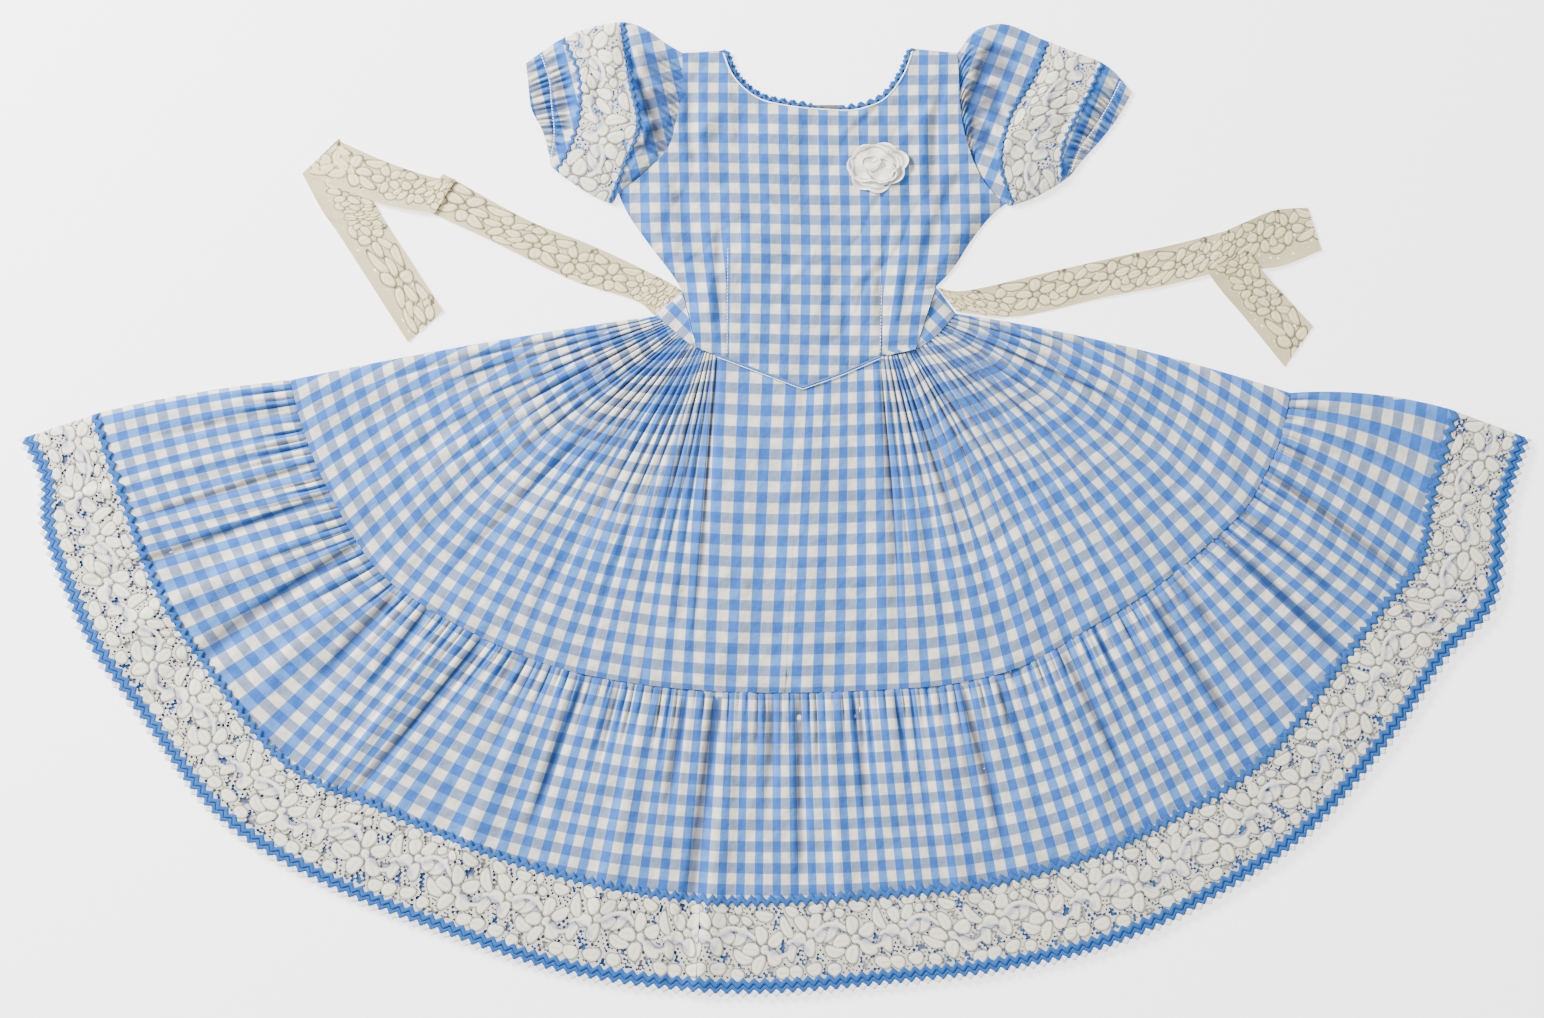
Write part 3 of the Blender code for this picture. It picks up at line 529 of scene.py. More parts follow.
def flat_area(cloth, faces):
    """Area of the faces in the cloth's own coordinates, in square millimetres."""
    corner = cloth.reshape(-1, 2)[faces]
    area = np.zeros(len(faces))
    for k in range(1, faces.shape[1] - 1):
        a, b = corner[:, k] - corner[:, 0], corner[:, k + 1] - corner[:, 0]
        area += np.abs(a[:, 0] * b[:, 1] - a[:, 1] * b[:, 0]) / 2
    return float(area.sum())


def finish_piece(item, node, held=None, cloth=None, faces=None, braid=None):
    """Join a piece to the frame, and work out the flat cut of a cloth piece."""
    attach(item, "root")
    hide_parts(node)
    if braid:
        run, wide, band = (size * MM for size in braid)
    elif held:
        cut = cloth.reshape(-1, 2)
        wide, long = (cut.max(0) - cut.min(0)) * MM
        area = min(flat_area(cloth, faces) * MM * MM, wide * long)
    return item


def sheet_piece(name, node, slot, look, points, cloth, held, rests_on, uv=None, closed=False, flip=False,
                faces=None, braid=None, **attributes):
    """A cloth piece from a grid of points and the cloth coordinates of each point."""
    if faces is None:
        faces = grid_quads(*points.shape[:2], closed=closed, flip=flip)
    if uv is None:
        uv = cloth / REPEAT
    item = make_mesh(name, points, faces, uv, look, **attributes)
    return finish_piece(item, node, held, cloth, faces, braid)


class Skirt:
    """Radial lines of the skirt, read at shares of the tier seam's length."""

    def __init__(self):
        table = np.array(SKIRT_SECTIONS, float)
        self.seam, self.lace, self.hem = table[:, 0:2], table[:, 2:4], table[:, 4:6]
        self.knots = (line_shares(self.seam) + line_shares(self.hem)) / 2
        self.places = np.linspace(0, 1, 400)
        dense = smooth_at(self.seam, self.knots, self.places)
        self.shares = line_shares(dense)
        self.seam_length = line_length(dense)
        self.centre = float(np.interp(CENTRE_SEAM_X, dense[:, 0], self.shares))
        self.zone = [float(np.interp(x, dense[:, 0], self.shares)) for x in CENTRE_ZONE_X]

    def read(self, line, shares):
        return smooth_at(line, self.knots, np.interp(shares, self.shares, self.places))

    def seam_at(self, shares):
        return self.read(self.seam, shares)

    def trim_depth(self, shares):
        return np.linalg.norm(self.read(self.hem, shares) - self.read(self.lace, shares), axis=1)

    def trim_at(self, shares, depth):
        """Points a distance outward from the line where the lace starts."""
        lace = self.read(self.lace, shares)
        way = self.read(self.hem, shares) - lace
        way /= np.linalg.norm(way, axis=1)[:, None]
        return lace + way * np.broadcast_to(depth, shares.shape)[:, None]

    def bowed(self, plan, shares, parts, bow):
        parts = np.asarray(parts)[:, None]
        ends = bow[0] * np.exp(-((shares / BOW_REACH) ** 2))
        ends = ends + bow[1] * np.exp(-(((1 - shares) / BOW_REACH) ** 2))
        plan = plan.copy()
        plan[..., 1] += 4 * parts * (1 - parts) * ends[None]
        return plan


def rows_between(start, end, parts):
    """Straight rows between two lines of points."""
    parts = np.asarray(parts)[:, None, None]
    return start[None] * (1 - parts) + end[None] * parts


skirt = Skirt()

# Side pleats of the upper tier
SIDE_PLEATS = 25
PLEAT_PLACES = np.array([0.02, 0.06, 0.11, 0.18, 0.27, 0.38, 0.5, 0.62, 0.73, 0.82, 0.89, 0.94])
TIER_ROWS = 62
PLAIN_COLUMNS = 27
BROAD_FOLDS = 7
STRONG_PLEAT = (1.35, 1.05)
WAIST_CUT = 0.84
CREST = ((0, 0.08, 0.3, 0.6, 0.95, 1), (4.0, 7.2, 8.0, 6.8, 5.0, 4.2))
VALLEY = ((0, 0.04, 0.15, 0.35, 0.6, 0.85, 1), (2.6, 4.2, 5.6, 4.8, 3.4, 1.4, 0.3))
VALLEY_HALF = ((0, 0.15, 0.4, 0.7, 1), (0.9, 1.5, 2.5, 3.8, 5.0))


def side_drop(height, distance, reach=8.0, floor=1.1):
    """Bring the front down to the back at its side edge."""
    return floor + (height - floor) * (1 - np.exp(-np.clip(distance, 0, None) / reach))


def tier_front(name, first, last, borders, waist_curves, seed):
    """One front panel of the upper tier; borders are the shares of the valleys between its pleats."""
    on_left = borders[0] <= first
    inner = np.concatenate([a + (b - a) * PLEAT_PLACES for a, b in zip(borders[:-1], borders[1:])])
    plain = np.linspace(borders[-1], last, PLAIN_COLUMNS) if on_left else np.linspace(first, borders[0], PLAIN_COLUMNS)
    shares = np.concatenate([inner, plain]) if on_left else np.concatenate([plain[:-1], inner, [last]])
    shares[0], shares[-1] = first, last
    span = (borders[0], borders[-1])
    pleat_curve = waist_curves[0] if on_left else waist_curves[1]
    plain_curve = waist_curves[1] if on_left else waist_curves[0]
    on_pleats = (shares >= span[0]) & (shares <= span[1])
    plain_span = (span[1], last) if on_left else (first, span[0])
    waist = np.where(
        on_pleats[:, None],
        along(pleat_curve, np.clip((shares - span[0]) / (span[1] - span[0]), 0, 1)),
        along(plain_curve, np.clip((shares - plain_span[0]) / (plain_span[1] - plain_span[0]), 0, 1)))
    parts = np.linspace(0, 1, TIER_ROWS) ** 1.15
    seam = skirt.seam_at(shares)
    plan = skirt.bowed(rows_between(waist, seam, parts), shares, parts, TIER_BOW)
    steps = np.linalg.norm(np.diff(plan, axis=1), axis=2)
    across = np.concatenate([np.zeros((len(parts), 1)), np.cumsum(steps, axis=1)], axis=1)
    crest = np.interp(parts, *CREST)[:, None]
    valley = np.interp(parts, *VALLEY)[:, None]
    half = np.interp(parts, *VALLEY_HALF)[:, None]
    count = len(borders)
    depth, reach = uneven(count, seed, 0.5, 1.2), uneven(count, seed + 4, 0.25, 1.05)
    lean = uneven(count, seed + 2, -1, 1)
    strong = count - 1 if on_left else 0
    depth[strong], reach[strong] = STRONG_PLEAT
    hollow = np.zeros_like(across)
    for k, border in enumerate(borders):
        if border <= first + 1e-6 or border >= last - 1e-6:
            continue
        middle = np.array([np.interp(border, shares, row) for row in across])[:, None]
        off = across - middle - 2.2 * parts[:, None] * np.sin(5.5 * parts[:, None] + 1.7 * k)
        width = half * np.where(off * np.sign(lean[k]) > 0, 1.5, 0.6)
        fade = 0.12 + 0.88 * eased((reach[k] - parts[:, None]) / 0.4)
        hollow += depth[k] * fade * valley * np.exp(-((off / width) ** 2))
    broad = np.zeros_like(across)
    for k in range(BROAD_FOLDS):
        place = borders[0] + (borders[-1] - borders[0]) * (k + 0.6 + 0.2 * np.sin(3.1 * k + seed)) / BROAD_FOLDS
        middle = np.array([np.interp(place, shares, row) for row in across])[:, None]
        off = across - middle - 9 * parts[:, None] * np.sin(2.2 * parts[:, None] + k)
        fade = eased((parts[:, None] - 0.12 - 0.05 * (k % 3)) / 0.3) * eased((1.02 - parts[:, None]) / 0.25)
        broad += (2.2 + 0.8 * np.sin(2.7 * k)) * fade * np.exp(-((off / (8 + 2 * np.sin(k))) ** 2))
    wave = -broad + 0.7 * np.sin(shares * 61 + seed)[None] * np.sin(np.pi * parts)[:, None]
    rumple = crumple(plan[..., 0], plan[..., 1], seed) * np.clip(0.25 + parts[:, None], 0, 1)
    height = np.clip(crest + wave + rumple - hollow, 1.9, None)
    height -= 1.0 * np.exp(-(1 - parts[:, None]) * 400 / 3.0)
    edge = across if on_left else across[:, -1:] - across
    height = side_drop(height, edge)
    middles = (np.array(borders[:-1]) + np.array(borders[1:])) / 2
    widths = np.diff(borders)
    pick = np.clip(np.searchsorted(borders, shares, side="right") - 1, 0, len(widths) - 1)
    psi = np.clip((shares - middles[pick]) / widths[pick], -0.5, 0.5)
    shown = np.linalg.norm(np.gradient(plan, shares, axis=1), axis=2) / skirt.seam_length
    shown = np.clip(shown, 0.1, 1)
    bent = shown * psi + (0.5 - 0.5 * shown) * np.sign(psi) * np.abs(2 * psi) ** 8
    u = np.where(on_pleats, middles[pick] + widths[pick] * bent, shares) - skirt.centre
    u = u * skirt.seam_length * np.interp(parts, (0, 1), (WAIST_CUT, 1))[:, None]
    length = np.linalg.norm(plan[-1] - plan[0], axis=1)
    v = (1 - parts)[:, None] * length[None] + REPEAT / 2
    cloth = np.dstack([u, v + 0 * u])
    shade = np.clip(hollow / 4.8, 0, 1) ** 1.7 * (1.1 - 0.4 * parts[:, None])
    return sheet_piece(name, name, "gingham", "gingham", np.dstack([plan, height]), cloth, "gathered",
                       ["skirt_back"], hollow=shade)


def uneven_borders(first, last, count, seed):
    """Borders of pleats of uneven width."""
    widths = uneven(count, seed, 0.75, 1.25)
    return first + (last - first) * np.concatenate([[0], np.cumsum(widths)]) / widths.sum()


def tier():
    """Front tier in two panels and a plain back tier."""
    left_zone, right_zone = skirt.zone
    tier_front("skirt_front_left", 0.0, skirt.centre - 0.0001, uneven_borders(0.0, left_zone, SIDE_PLEATS, 1.3),
               (WAIST_LEFT, WAIST_CENTRE_LEFT), 0.7)
    tier_front("skirt_front_right", skirt.centre + 0.0001, 1.0, uneven_borders(right_zone, 1.0, SIDE_PLEATS, 3.9),
               (WAIST_CENTRE_RIGHT, WAIST_RIGHT), 2.9)
    shares = np.linspace(0, 1, 181)
    parts = np.linspace(0, 1, 30)
    plan = rows_between(along(WAIST_BACK, shares), skirt.seam_at(shares), parts)
    plan = skirt.bowed(plan, shares, parts, TIER_BOW)
    ripple = np.sin(shares * 300)[None] * np.exp(-parts[:, None] / 0.25)
    points = np.dstack([plan, 0.8 + 0.35 * ripple])
    depth = np.linalg.norm(plan[-1] - plan[0], axis=1)
    wide = (shares - skirt.centre)[None] * skirt.seam_length * np.interp(parts, (0, 1), (0.55, 1))[:, None]
    cloth = np.dstack([wide, (1 - parts)[:, None] * depth[None]])
    sheet_piece("skirt_back", "skirt_back", "gingham", "gingham", points, cloth, "gathered", ["floor"], flip=True)


# Gathers of the ruffle and the real length of its lower line
RUFFLE_GATHERS = 150
RUFFLE_LINE = line_length(skirt.trim_at(np.linspace(0, 1, 400), TRIM_START))
GATHER_PLACES = np.array([0.03, 0.12, 0.25, 0.4, 0.55, 0.7, 0.84, 0.95])
RUFFLE_LEVEL = ((0, 0.05, 0.15, 0.4, 0.8, 1, 1.6), (3.2, 5.4, 6.6, 6.8, 6.2, 5.8, 5.4))
GATHER_VALLEY = ((0, 0.03, 0.12, 0.35, 0.7, 1), (2.4, 4.4, 4.2, 2.6, 1.0, 0))
GATHER_HALF = ((0, 0.1, 0.3, 0.7, 1), (1.0, 1.7, 3.2, 5.5, 7.0))
GATHER_BORDERS = uneven_borders(0.0, 1.0, RUFFLE_GATHERS, 0.4)
GATHER_DEPTH = uneven(RUFFLE_GATHERS + 1, 1.1, 0.45, 1.3)
GATHER_REACH = 0.02 + 0.7 * uneven(RUFFLE_GATHERS + 1, 5.2) ** 2


def ruffle_width(parts):
    """Real length of the cloth's line at each part of the ruffle's depth."""
    return np.interp(parts, (0, 1, 1.6), (skirt.seam_length, RUFFLE_LINE, RUFFLE_LINE * 1.1))


def ruffle_height(shares, parts):
    """Height and hollow of the ruffle at shares of its width and parts of its depth."""
    level = np.interp(parts, *RUFFLE_LEVEL)
    width = ruffle_width(parts)
    hollow = np.zeros_like(level)
    near = parts < 0.95
    if near.any():
        s, p, w = shares[near], parts[near], width[near]
        valley, half = np.interp(p, *GATHER_VALLEY), np.interp(p, *GATHER_HALF)
        cut = np.zeros_like(s)
        for border, depth, reach in zip(GATHER_BORDERS, GATHER_DEPTH, GATHER_REACH):
            off = (s - border) * w
            close = np.abs(off) < 22
            fade = 0.08 + 0.92 * eased((reach + 0.12 - p[close]) / 0.25)
            cut[close] += depth * fade * valley[close] * np.exp(-((off[close] / half[close]) ** 2))
        hollow[near] = cut
    ridge = np.zeros_like(level)
    for seam_share, hem_share, top, half, start, stop in RUFFLE_CREASES:
        middle = seam_share + (hem_share - seam_share) * parts / 1.4
        off = (shares - middle) * width
        close = np.abs(off) < 4 * half
        p = parts[close]
        fade = eased((p - start) / 0.12 + (0.3 if start == 0 else 0)) * eased((stop - p) / 0.35)
        side = np.where(off[close] > 0, 1.25, 0.7) * half * (0.75 + 0.4 * p)
        form = top * fade * np.exp(-((off[close] / side) ** 2))
        if top > 0:
            ridge[close] += form
        else:
            hollow[close] -= form
    trimmed = eased((parts - 0.9) / 0.25)
    hollow = hollow * (1 - 0.1 * trimmed)
    height = np.clip(level + ridge - hollow, 2.0 + 1.8 * trimmed, None)
    edge = np.minimum(shares, 1 - shares) * width
    return side_drop(height, edge, 7.0, 1.1 + 1.6 * trimmed), hollow


def hem_part(depth):
    """Part of the ruffle's depth at a distance outward from the line where the lace starts."""
    return 1 + (np.asarray(depth, float) - TRIM_START) / 210


def ruffle():
    """Gathered ruffle, front and back, as far as under the hem trim."""
    shares = np.concatenate([a + (b - a) * GATHER_PLACES for a, b in zip(GATHER_BORDERS[:-1], GATHER_BORDERS[1:])])
    shares = np.concatenate([[0.0], shares, [1.0]])
    parts = np.array([0, .012, .025, .04, .06, .08, .105, .13, .16, .2, .24, .29, .34, .4, .46, .53, .6, .67, .74,
                      .82, .9, .96, 1])
    seam, start = skirt.seam_at(shares), skirt.trim_at(shares, TRIM_START)
    upper = skirt.bowed(rows_between(seam, start, parts), shares, parts, RUFFLE_BOW)
    reach = skirt.trim_depth(shares) - 10
    under = [skirt.trim_at(shares, TRIM_START + (reach - TRIM_START) * k) for k in (0.2, 0.4, 0.6, 0.8, 1)]
    plan = np.concatenate([upper, under])
    low = [hem_part(TRIM_START + (reach - TRIM_START) * k) for k in (0.2, 0.4, 0.6, 0.8, 1)]
    grid_parts = np.vstack([np.repeat(parts[:, None], len(shares), 1), low])
    grid_shares = np.broadcast_to(shares, grid_parts.shape)
    height, hollow = ruffle_height(grid_shares.copy(), grid_parts)
    dip = 1.2 * np.exp(-grid_parts * 230 / 2.5)
    rumple = crumple(plan[..., 0], plan[..., 1], 1.1) * eased((1.02 - grid_parts) / 0.1) * 0.9
    points = np.dstack([plan, height - dip + rumple])
    down = np.concatenate([np.zeros((1, len(shares))),
                           np.cumsum(np.linalg.norm(np.diff(plan, axis=0), axis=2), axis=0)])
    local = ruffle_width(grid_parts) / RUFFLE_LINE
    pick = np.clip(np.searchsorted(GATHER_BORDERS, shares, side="right") - 1, 0, RUFFLE_GATHERS - 1)
    widths = np.diff(GATHER_BORDERS)
    middles = (GATHER_BORDERS[:-1] + GATHER_BORDERS[1:]) / 2
    psi = (shares - middles[pick]) / widths[pick]
    squeeze = np.clip(local, 0.4, 1)
    bent = squeeze * psi + (0.5 - 0.5 * squeeze) * np.sign(psi) * np.abs(2 * psi) ** 6
    u = (middles[pick] + widths[pick] * bent) * RUFFLE_LINE * 1.02
    cloth = np.dstack([u, down + 0 * u + REPEAT * 0.4])
    shade = np.clip(hollow / 5.0, 0, 1) ** 1.5 * np.clip(1.25 - 0.5 * grid_parts, 0, 1)
    shade = np.maximum(shade, 0.75 * eased((grid_parts - 1.03) / 0.05))
    sheet_piece("ruffle_front", "ruffle_front", "gingham", "gingham", points, cloth, "gathered",
                ["ruffle_back"], hollow=shade)

    shares = np.linspace(0, 1, 241)
    parts = np.concatenate([np.linspace(0, 1, 12), [1.0 + k * 0.09 for k in (1, 2, 3, 4)]])
    seam, start = skirt.seam_at(shares), skirt.trim_at(shares, TRIM_START)
    reach = skirt.trim_depth(shares) - 10
    under = [skirt.trim_at(shares, TRIM_START + (reach - TRIM_START) * k) for k in (0.25, 0.5, 0.75, 1)]
    flat = skirt.bowed(rows_between(seam, start, parts[:12]), shares, parts[:12], RUFFLE_BOW)
    plan = np.concatenate([flat, under])
    level = np.interp(parts, (0, 0.9, 1.02, 2), (0.8, 0.8, 2.0, 2.0))[:, None]
    ripple = 0.3 * np.sin(shares * 520)[None] * np.exp(-parts[:, None] / 0.2)
    down = np.concatenate([np.zeros((1, len(shares))),
                           np.cumsum(np.linalg.norm(np.diff(plan, axis=0), axis=2), axis=0)])
    cloth = np.dstack([np.broadcast_to(shares * RUFFLE_LINE, down.shape), down])
    sheet_piece("ruffle_back", "ruffle_back", "gingham", "gingham", np.dstack([plan, level + ripple]), cloth,
                "gathered", ["floor"], flip=True)


def turned(s, t, turn):
    """Coordinates along and across a direction."""
    c, d = np.cos(np.radians(turn)), np.sin(np.radians(turn))
    return s * c + t * d, -s * d + t * c


MOTIF_SIZE = 0.94


def lace_motifs(s, t, repeat, flowers, leaves, arches):
    """Signed distance into the nearest motif, distance between the two nearest, and arch values."""
    petals = [(x, y, a * MOTIF_SIZE, b * MOTIF_SIZE, turn) for x, y, a, b, turn in leaves]
    for x, y, count, reach, a, b, turn in flowers:
        for k in range(count):
            angle = turn + 360 * k / count
            petals.append((x + reach * np.cos(np.radians(angle)), y + reach * np.sin(np.radians(angle)),
                           a * MOTIF_SIZE, b * MOTIF_SIZE, angle))
    best = np.full(s.shape, 99.0)
    second = np.full(s.shape, 99.0)
    vein = np.zeros(s.shape)
    for x, y, a, b, turn in petals:
        ds = (s - x + repeat / 2) % repeat - repeat / 2
        p, q = turned(ds, t - y, turn)
        q = q + 0.02 * p * p
        off = (np.sqrt((p / a) ** 2 + (q / b) ** 2) - 1) * b
        first = off < best
        second = np.where(first, best, np.minimum(second, off))
        vein = np.where(first, np.exp(-((q / 0.55) ** 2)) * (np.abs(p) < 0.6 * a), vein)
        best = np.where(first, off, best)
    arch = np.full(s.shape, 99.0)
    crescent = np.zeros(s.shape)
    for x, y, radius, half, start, stop in arches:
        ds = (s - x + repeat / 2) % repeat - repeat / 2
        angle = np.degrees(np.arctan2(-(t - y), ds)) % 360
        inside = eased((angle - start) / 20) * eased((stop - angle) / 20)
        off = np.abs(np.hypot(ds, t - y) - radius) - half * inside
        off = np.where(inside > 0.02, off, 99)
        arch = np.minimum(arch, off)
        band = np.hypot(ds, t - y) - radius
        crescent = np.maximum(crescent, inside * np.exp(-(((band + half * 1.2) / (0.8 * half)) ** 2)))
    return best, second, vein, arch, crescent


def lace_warp(s, t, seed):
    """Shift band coordinates a little, so that no two repeats of the lace look the same."""
    along_band = 2.6 * np.sin(t / 15 + s / 57 + seed) + 1.5 * np.sin(s / 23 + seed)
    across_band = 2.2 * np.sin(s / 37 + 2 * seed) + 1.2 * np.sin(s / 13.7)
    return s + along_band, t + across_band


def on_grid(plan, height, grid):
    """Points of a band: a list of plan points and their heights, in the shape of its grid."""
    level = np.broadcast_to(height, len(plan))
    return np.dstack([part.reshape(grid.shape) for part in (plan[:, 0], plan[:, 1], level)])


def lace_piece(name, node, slot, look, rests_on, place, length, width, cell, motif, repeat, seed, hole=1.75,
               pitch=4.9, opened=1.0, flip=False, held="laid"):
    """A lace band: place turns band coordinates into points; holes are cut between the motifs."""
    columns, rows = int(length / cell) + 1, int(width / cell) + 1
    s, t = np.meshgrid(np.linspace(0, length, columns), np.linspace(0, width, rows))
    best, second, vein, arch, crescent = lace_motifs(*lace_warp(s, t, seed), repeat, *motif)
    rows_of_holes = int(width / (pitch * 0.87))
    middles = []
    for k in range(rows_of_holes + 1):
        y = (k + 0.5) * width / (rows_of_holes + 1)
        x = np.arange((k % 2) * pitch / 2 + pitch / 2, length, pitch)
        jitter = np.sin(x * 1.7 + k * 2.3 + seed)
        middles.append(np.column_stack([x + 0.9 * jitter, y + 0.9 * np.sin(x * 2.9 + k + seed)]))
    middles = np.vstack(middles)
    x, y = middles[:, 0], middles[:, 1]
    at_best, _, _, at_arch, _ = lace_motifs(*lace_warp(x, y, seed), repeat, *motif)
    size = hole * (0.85 + 0.25 * np.sin(x * 3.1 + y))
    free = np.minimum(at_best, at_arch) > size * 0.25
    free &= (y > 4) & (y < width - 4) & (x > 4) & (x < length - 4)
    free &= np.sin(x * 7.7 + y * 3.3 + seed) < opened
    middles, size = middles[free], size[free]
    gap = np.full(s.size, 99.0)
    if len(middles):
        tree = kdtree.KDTree(len(middles))
        for k, (a, b) in enumerate(middles):
            tree.insert((a, b, 0), k)
        tree.balance()
        flat = np.column_stack([s.ravel(), t.ravel()])
        nearest = np.zeros(len(flat), int)
        for k, (a, b) in enumerate(flat.tolist()):
            nearest[k] = tree.find((a, b, 0))[1]
        away = flat - middles[nearest]
        distance = np.maximum(np.linalg.norm(away, axis=1), 1e-6)
        gap = distance - size[nearest]
        snap = np.abs(gap) < 0.62 * cell
        flat[snap] = middles[nearest][snap] + away[snap] / distance[snap, None] * size[nearest][snap, None]
        gap[snap] = 0
        s, t = flat[:, 0].reshape(s.shape), flat[:, 1].reshape(t.shape)
    faces = grid_quads(rows, columns, flip=flip)
    kept = gap[faces].mean(1) > 0.02 * cell
    kept &= ~((gap[faces] < 0.01).all(1))
    faces = faces[kept]
    # The outline value is painted shade along the motif edges, where two motifs meet and in the leaf veins, plus the
    # greyer look of the sheer net between motifs.
    outline = np.exp(-(((np.minimum(best, arch) + 0.3) / 0.8) ** 2))
    outline = np.maximum(outline, (best < -0.4) * np.exp(-(((second - best) / 0.9) ** 2)))
    outline = np.maximum(outline, 0.35 * vein * (best < -1))
    ground = eased((np.minimum(best, arch) - 0.2) / 1.2)
    outline = np.maximum(outline, 0.3 * ground)
    raised = 0.55 * eased(-np.minimum(best, arch) / 2.2) - 0.25 * outline
    points = place(s, t)
    points[..., 2] += (raised + 0.1).reshape(points.shape[:2])
    used = np.unique(faces)
    renumber = np.zeros(points.shape[0] * points.shape[1], np.int32)
    renumber[used] = np.arange(len(used))
    cloth = np.column_stack([s.ravel(), t.ravel()])[used]
    return sheet_piece(
        name, node, slot, look, points.reshape(-1, 3)[used], cloth, held, rests_on, faces=renumber[faces],
        uv=cloth / repeat, outline=outline.ravel()[used], crescent=crescent.ravel()[used] * 0.9)


def rickrack_band(name, node, slot, look, place, length, pitch, swing, half, rests_on, phase=0.0, lift=0.9,
                  flip=False, samples=6, sharp=0.6):
    """A zigzag braid along a line; place turns a length and an outward offset into points."""
    waves = max(int(round(length / pitch)), 2)
    s = np.linspace(0, length, waves * samples * 2 + 1)
    turn = s / length * waves + phase
    tri = 1 - 4 * np.abs((turn % 1) - 0.5)
    wave = sharp * tri + (1 - sharp) * -np.cos(2 * np.pi * turn)
    across = np.array([-1, -0.72, -0.3, 0.3, 0.72, 1]) * half
    profile = np.array([0, 0.72, 1, 1, 0.72, 0]) * lift
    grid_s = np.repeat(s[None], len(across), 0)
    offset = swing * wave[None] + across[:, None]
    points = place(grid_s, offset)
    points[..., 2] += profile[:, None]
    twill = 0.5 + 0.5 * np.sin(grid_s * 2.6 + offset * 3)
    # Painted shade along both sloping edges of the braid, with the twill's own darker lines on top.
    hollow = np.repeat(np.array([0.9, 0.2, 0, 0, 0.2, 0.9])[:, None], len(s), 1) + 0.25 * twill
    cloth = np.dstack([grid_s, np.repeat(across[:, None], len(s), 1)])
    return sheet_piece(name, node, slot, look, points, cloth, "laid", rests_on, uv=cloth / REPEAT, flip=flip,
                       braid=(length, 2 * (swing + half), 2 * half), hollow=np.clip(hollow, 0, 1))


# The hem lace is two lengths that overlap at the join, a share of the hem from its left end
LACE_JOIN = 0.445
LACE_WIDTH = 82.0
LACE_CELL = 1.3
HEM_PITCH = 12.2
NECK_PITCH = 11.6
SLEEVE_PITCH = 9.5


def hem_trim():
    """Lace band and rickrack round the hem, front and back."""
    dense = np.linspace(0, 1, 1201)
    depth = skirt.trim_depth(dense)
    middle = skirt.trim_at(dense, depth * 0.45)
    run = line_shares(middle) * line_length(middle)

    def on_front(start, stop, inner, outer, lift):
        offset = np.interp(start, dense, run)

        def place(s, t):
            shares = np.interp(s.ravel() + offset, run, dense)
            own = np.interp(shares, dense, depth)
            reach = inner + (own + outer - inner) * (t.ravel() / LACE_WIDTH)
            plan = skirt.trim_at(shares, reach)
            height, _ = ruffle_height(shares, hem_part(reach))
            return on_grid(plan, height + lift, s)
        return place, np.interp(stop, dense, run) - offset

    motif = (HEM_LACE_FLOWERS, HEM_LACE_LEAVES, HEM_LACE_ARCHES)
    join = np.interp(LACE_JOIN, dense, run)
    for name, start, stop, lift in (("hem_lace_front", 0.0, LACE_JOIN + 0.003, 1.9),
                                    ("hem_lace_front_right", LACE_JOIN, 1.0, 0.9)):
        place, length = on_front(start, stop, 3.0, -17.0, lift)
        lace_piece(name, "hem_lace_front", "lace", "lace", ["ruffle_front"], place, length, LACE_WIDTH,
                   LACE_CELL, motif, HEM_LACE_REPEAT, 0.6 + start)

    def band(inner_from_hem, base, side):
        def place(s, offset):
            shares = np.interp(s.ravel(), run, dense)
            own = np.interp(shares, dense, depth)
            reach = (own - inner_from_hem if inner_from_hem is not None else 0.5) + offset.ravel()
            plan = skirt.trim_at(shares, reach)
            if side == "front":
                height = ruffle_height(shares, hem_part(reach))[0] + base
            else:
                height = np.full(len(shares), base)
            return on_grid(plan, height, s)
        return place

    length = run[-1]
    for side, top, lift, rests in (("front", 0.9, 1.1, "hem_lace_front"), ("back", 0.1, 0.8, "floor")):
        flip = side == "back"
        fine = 5 if side == "front" else 3
        rickrack_band(f"rickrack_top_{side}", f"rickrack_top_{side}", "rickrack", "rickrack",
                      band(None, top + 0.6 * (side == "front"), side), length, HEM_PITCH, 3.2, 4.6, [rests],
                      lift=lift, flip=flip, samples=fine)
        node = f"hem_rickrack_{side}"
        rickrack_band(node, node, "rickrack", "rickrack", band(16.4, top + 0.9 * (side == "front"), side), length,
                      HEM_PITCH, 2.9, 3.7, [rests], lift=lift, flip=flip, samples=fine)
        rickrack_band(node + "_outer", node, "rickrack", "rickrack", band(9.4, top, side), length, HEM_PITCH, 2.9,
                      3.4, [rests], lift=lift, flip=flip, samples=fine)
        if side == "front":
            rickrack_band("hem_braid_front", node, "rickrack", "braid", band(5.4, top - 0.4, side), length, HEM_PITCH,
                          2.9, 3.2, [rests], phase=0.5, lift=0.7, samples=fine)

    def back_place(s, t):
        shares = np.interp(s.ravel(), run, dense)
        own = np.interp(shares, dense, depth)
        reach = 6.6 + (own - 21.5 - 6.6) * (t.ravel() / LACE_WIDTH)
        plan = skirt.trim_at(shares, reach)
        return on_grid(plan, 0.4, s)
    lace_piece("hem_lace_back", "hem_lace_back", "lace", "lace", ["floor"], back_place, length, LACE_WIDTH,
               LACE_CELL * 2, motif, HEM_LACE_REPEAT, 0.6, flip=True)


def fill_patch(top, bottom, left, right):
    """Fill a four-sided patch from its edges; top and bottom run left to right, the sides downward."""
    across = line_shares(top)[None, :, None]
    down = np.linspace(0, 1, len(left))[:, None, None]
    straight = top[None] * (1 - down) + bottom[None] * down
    sides = left[:, None] * (1 - across) + right[:, None] * across
    corners = ((top[0] * (1 - down) + bottom[0] * down) * (1 - across)
               + (top[-1] * (1 - down) + bottom[-1] * down) * across)
    return straight + sides - corners


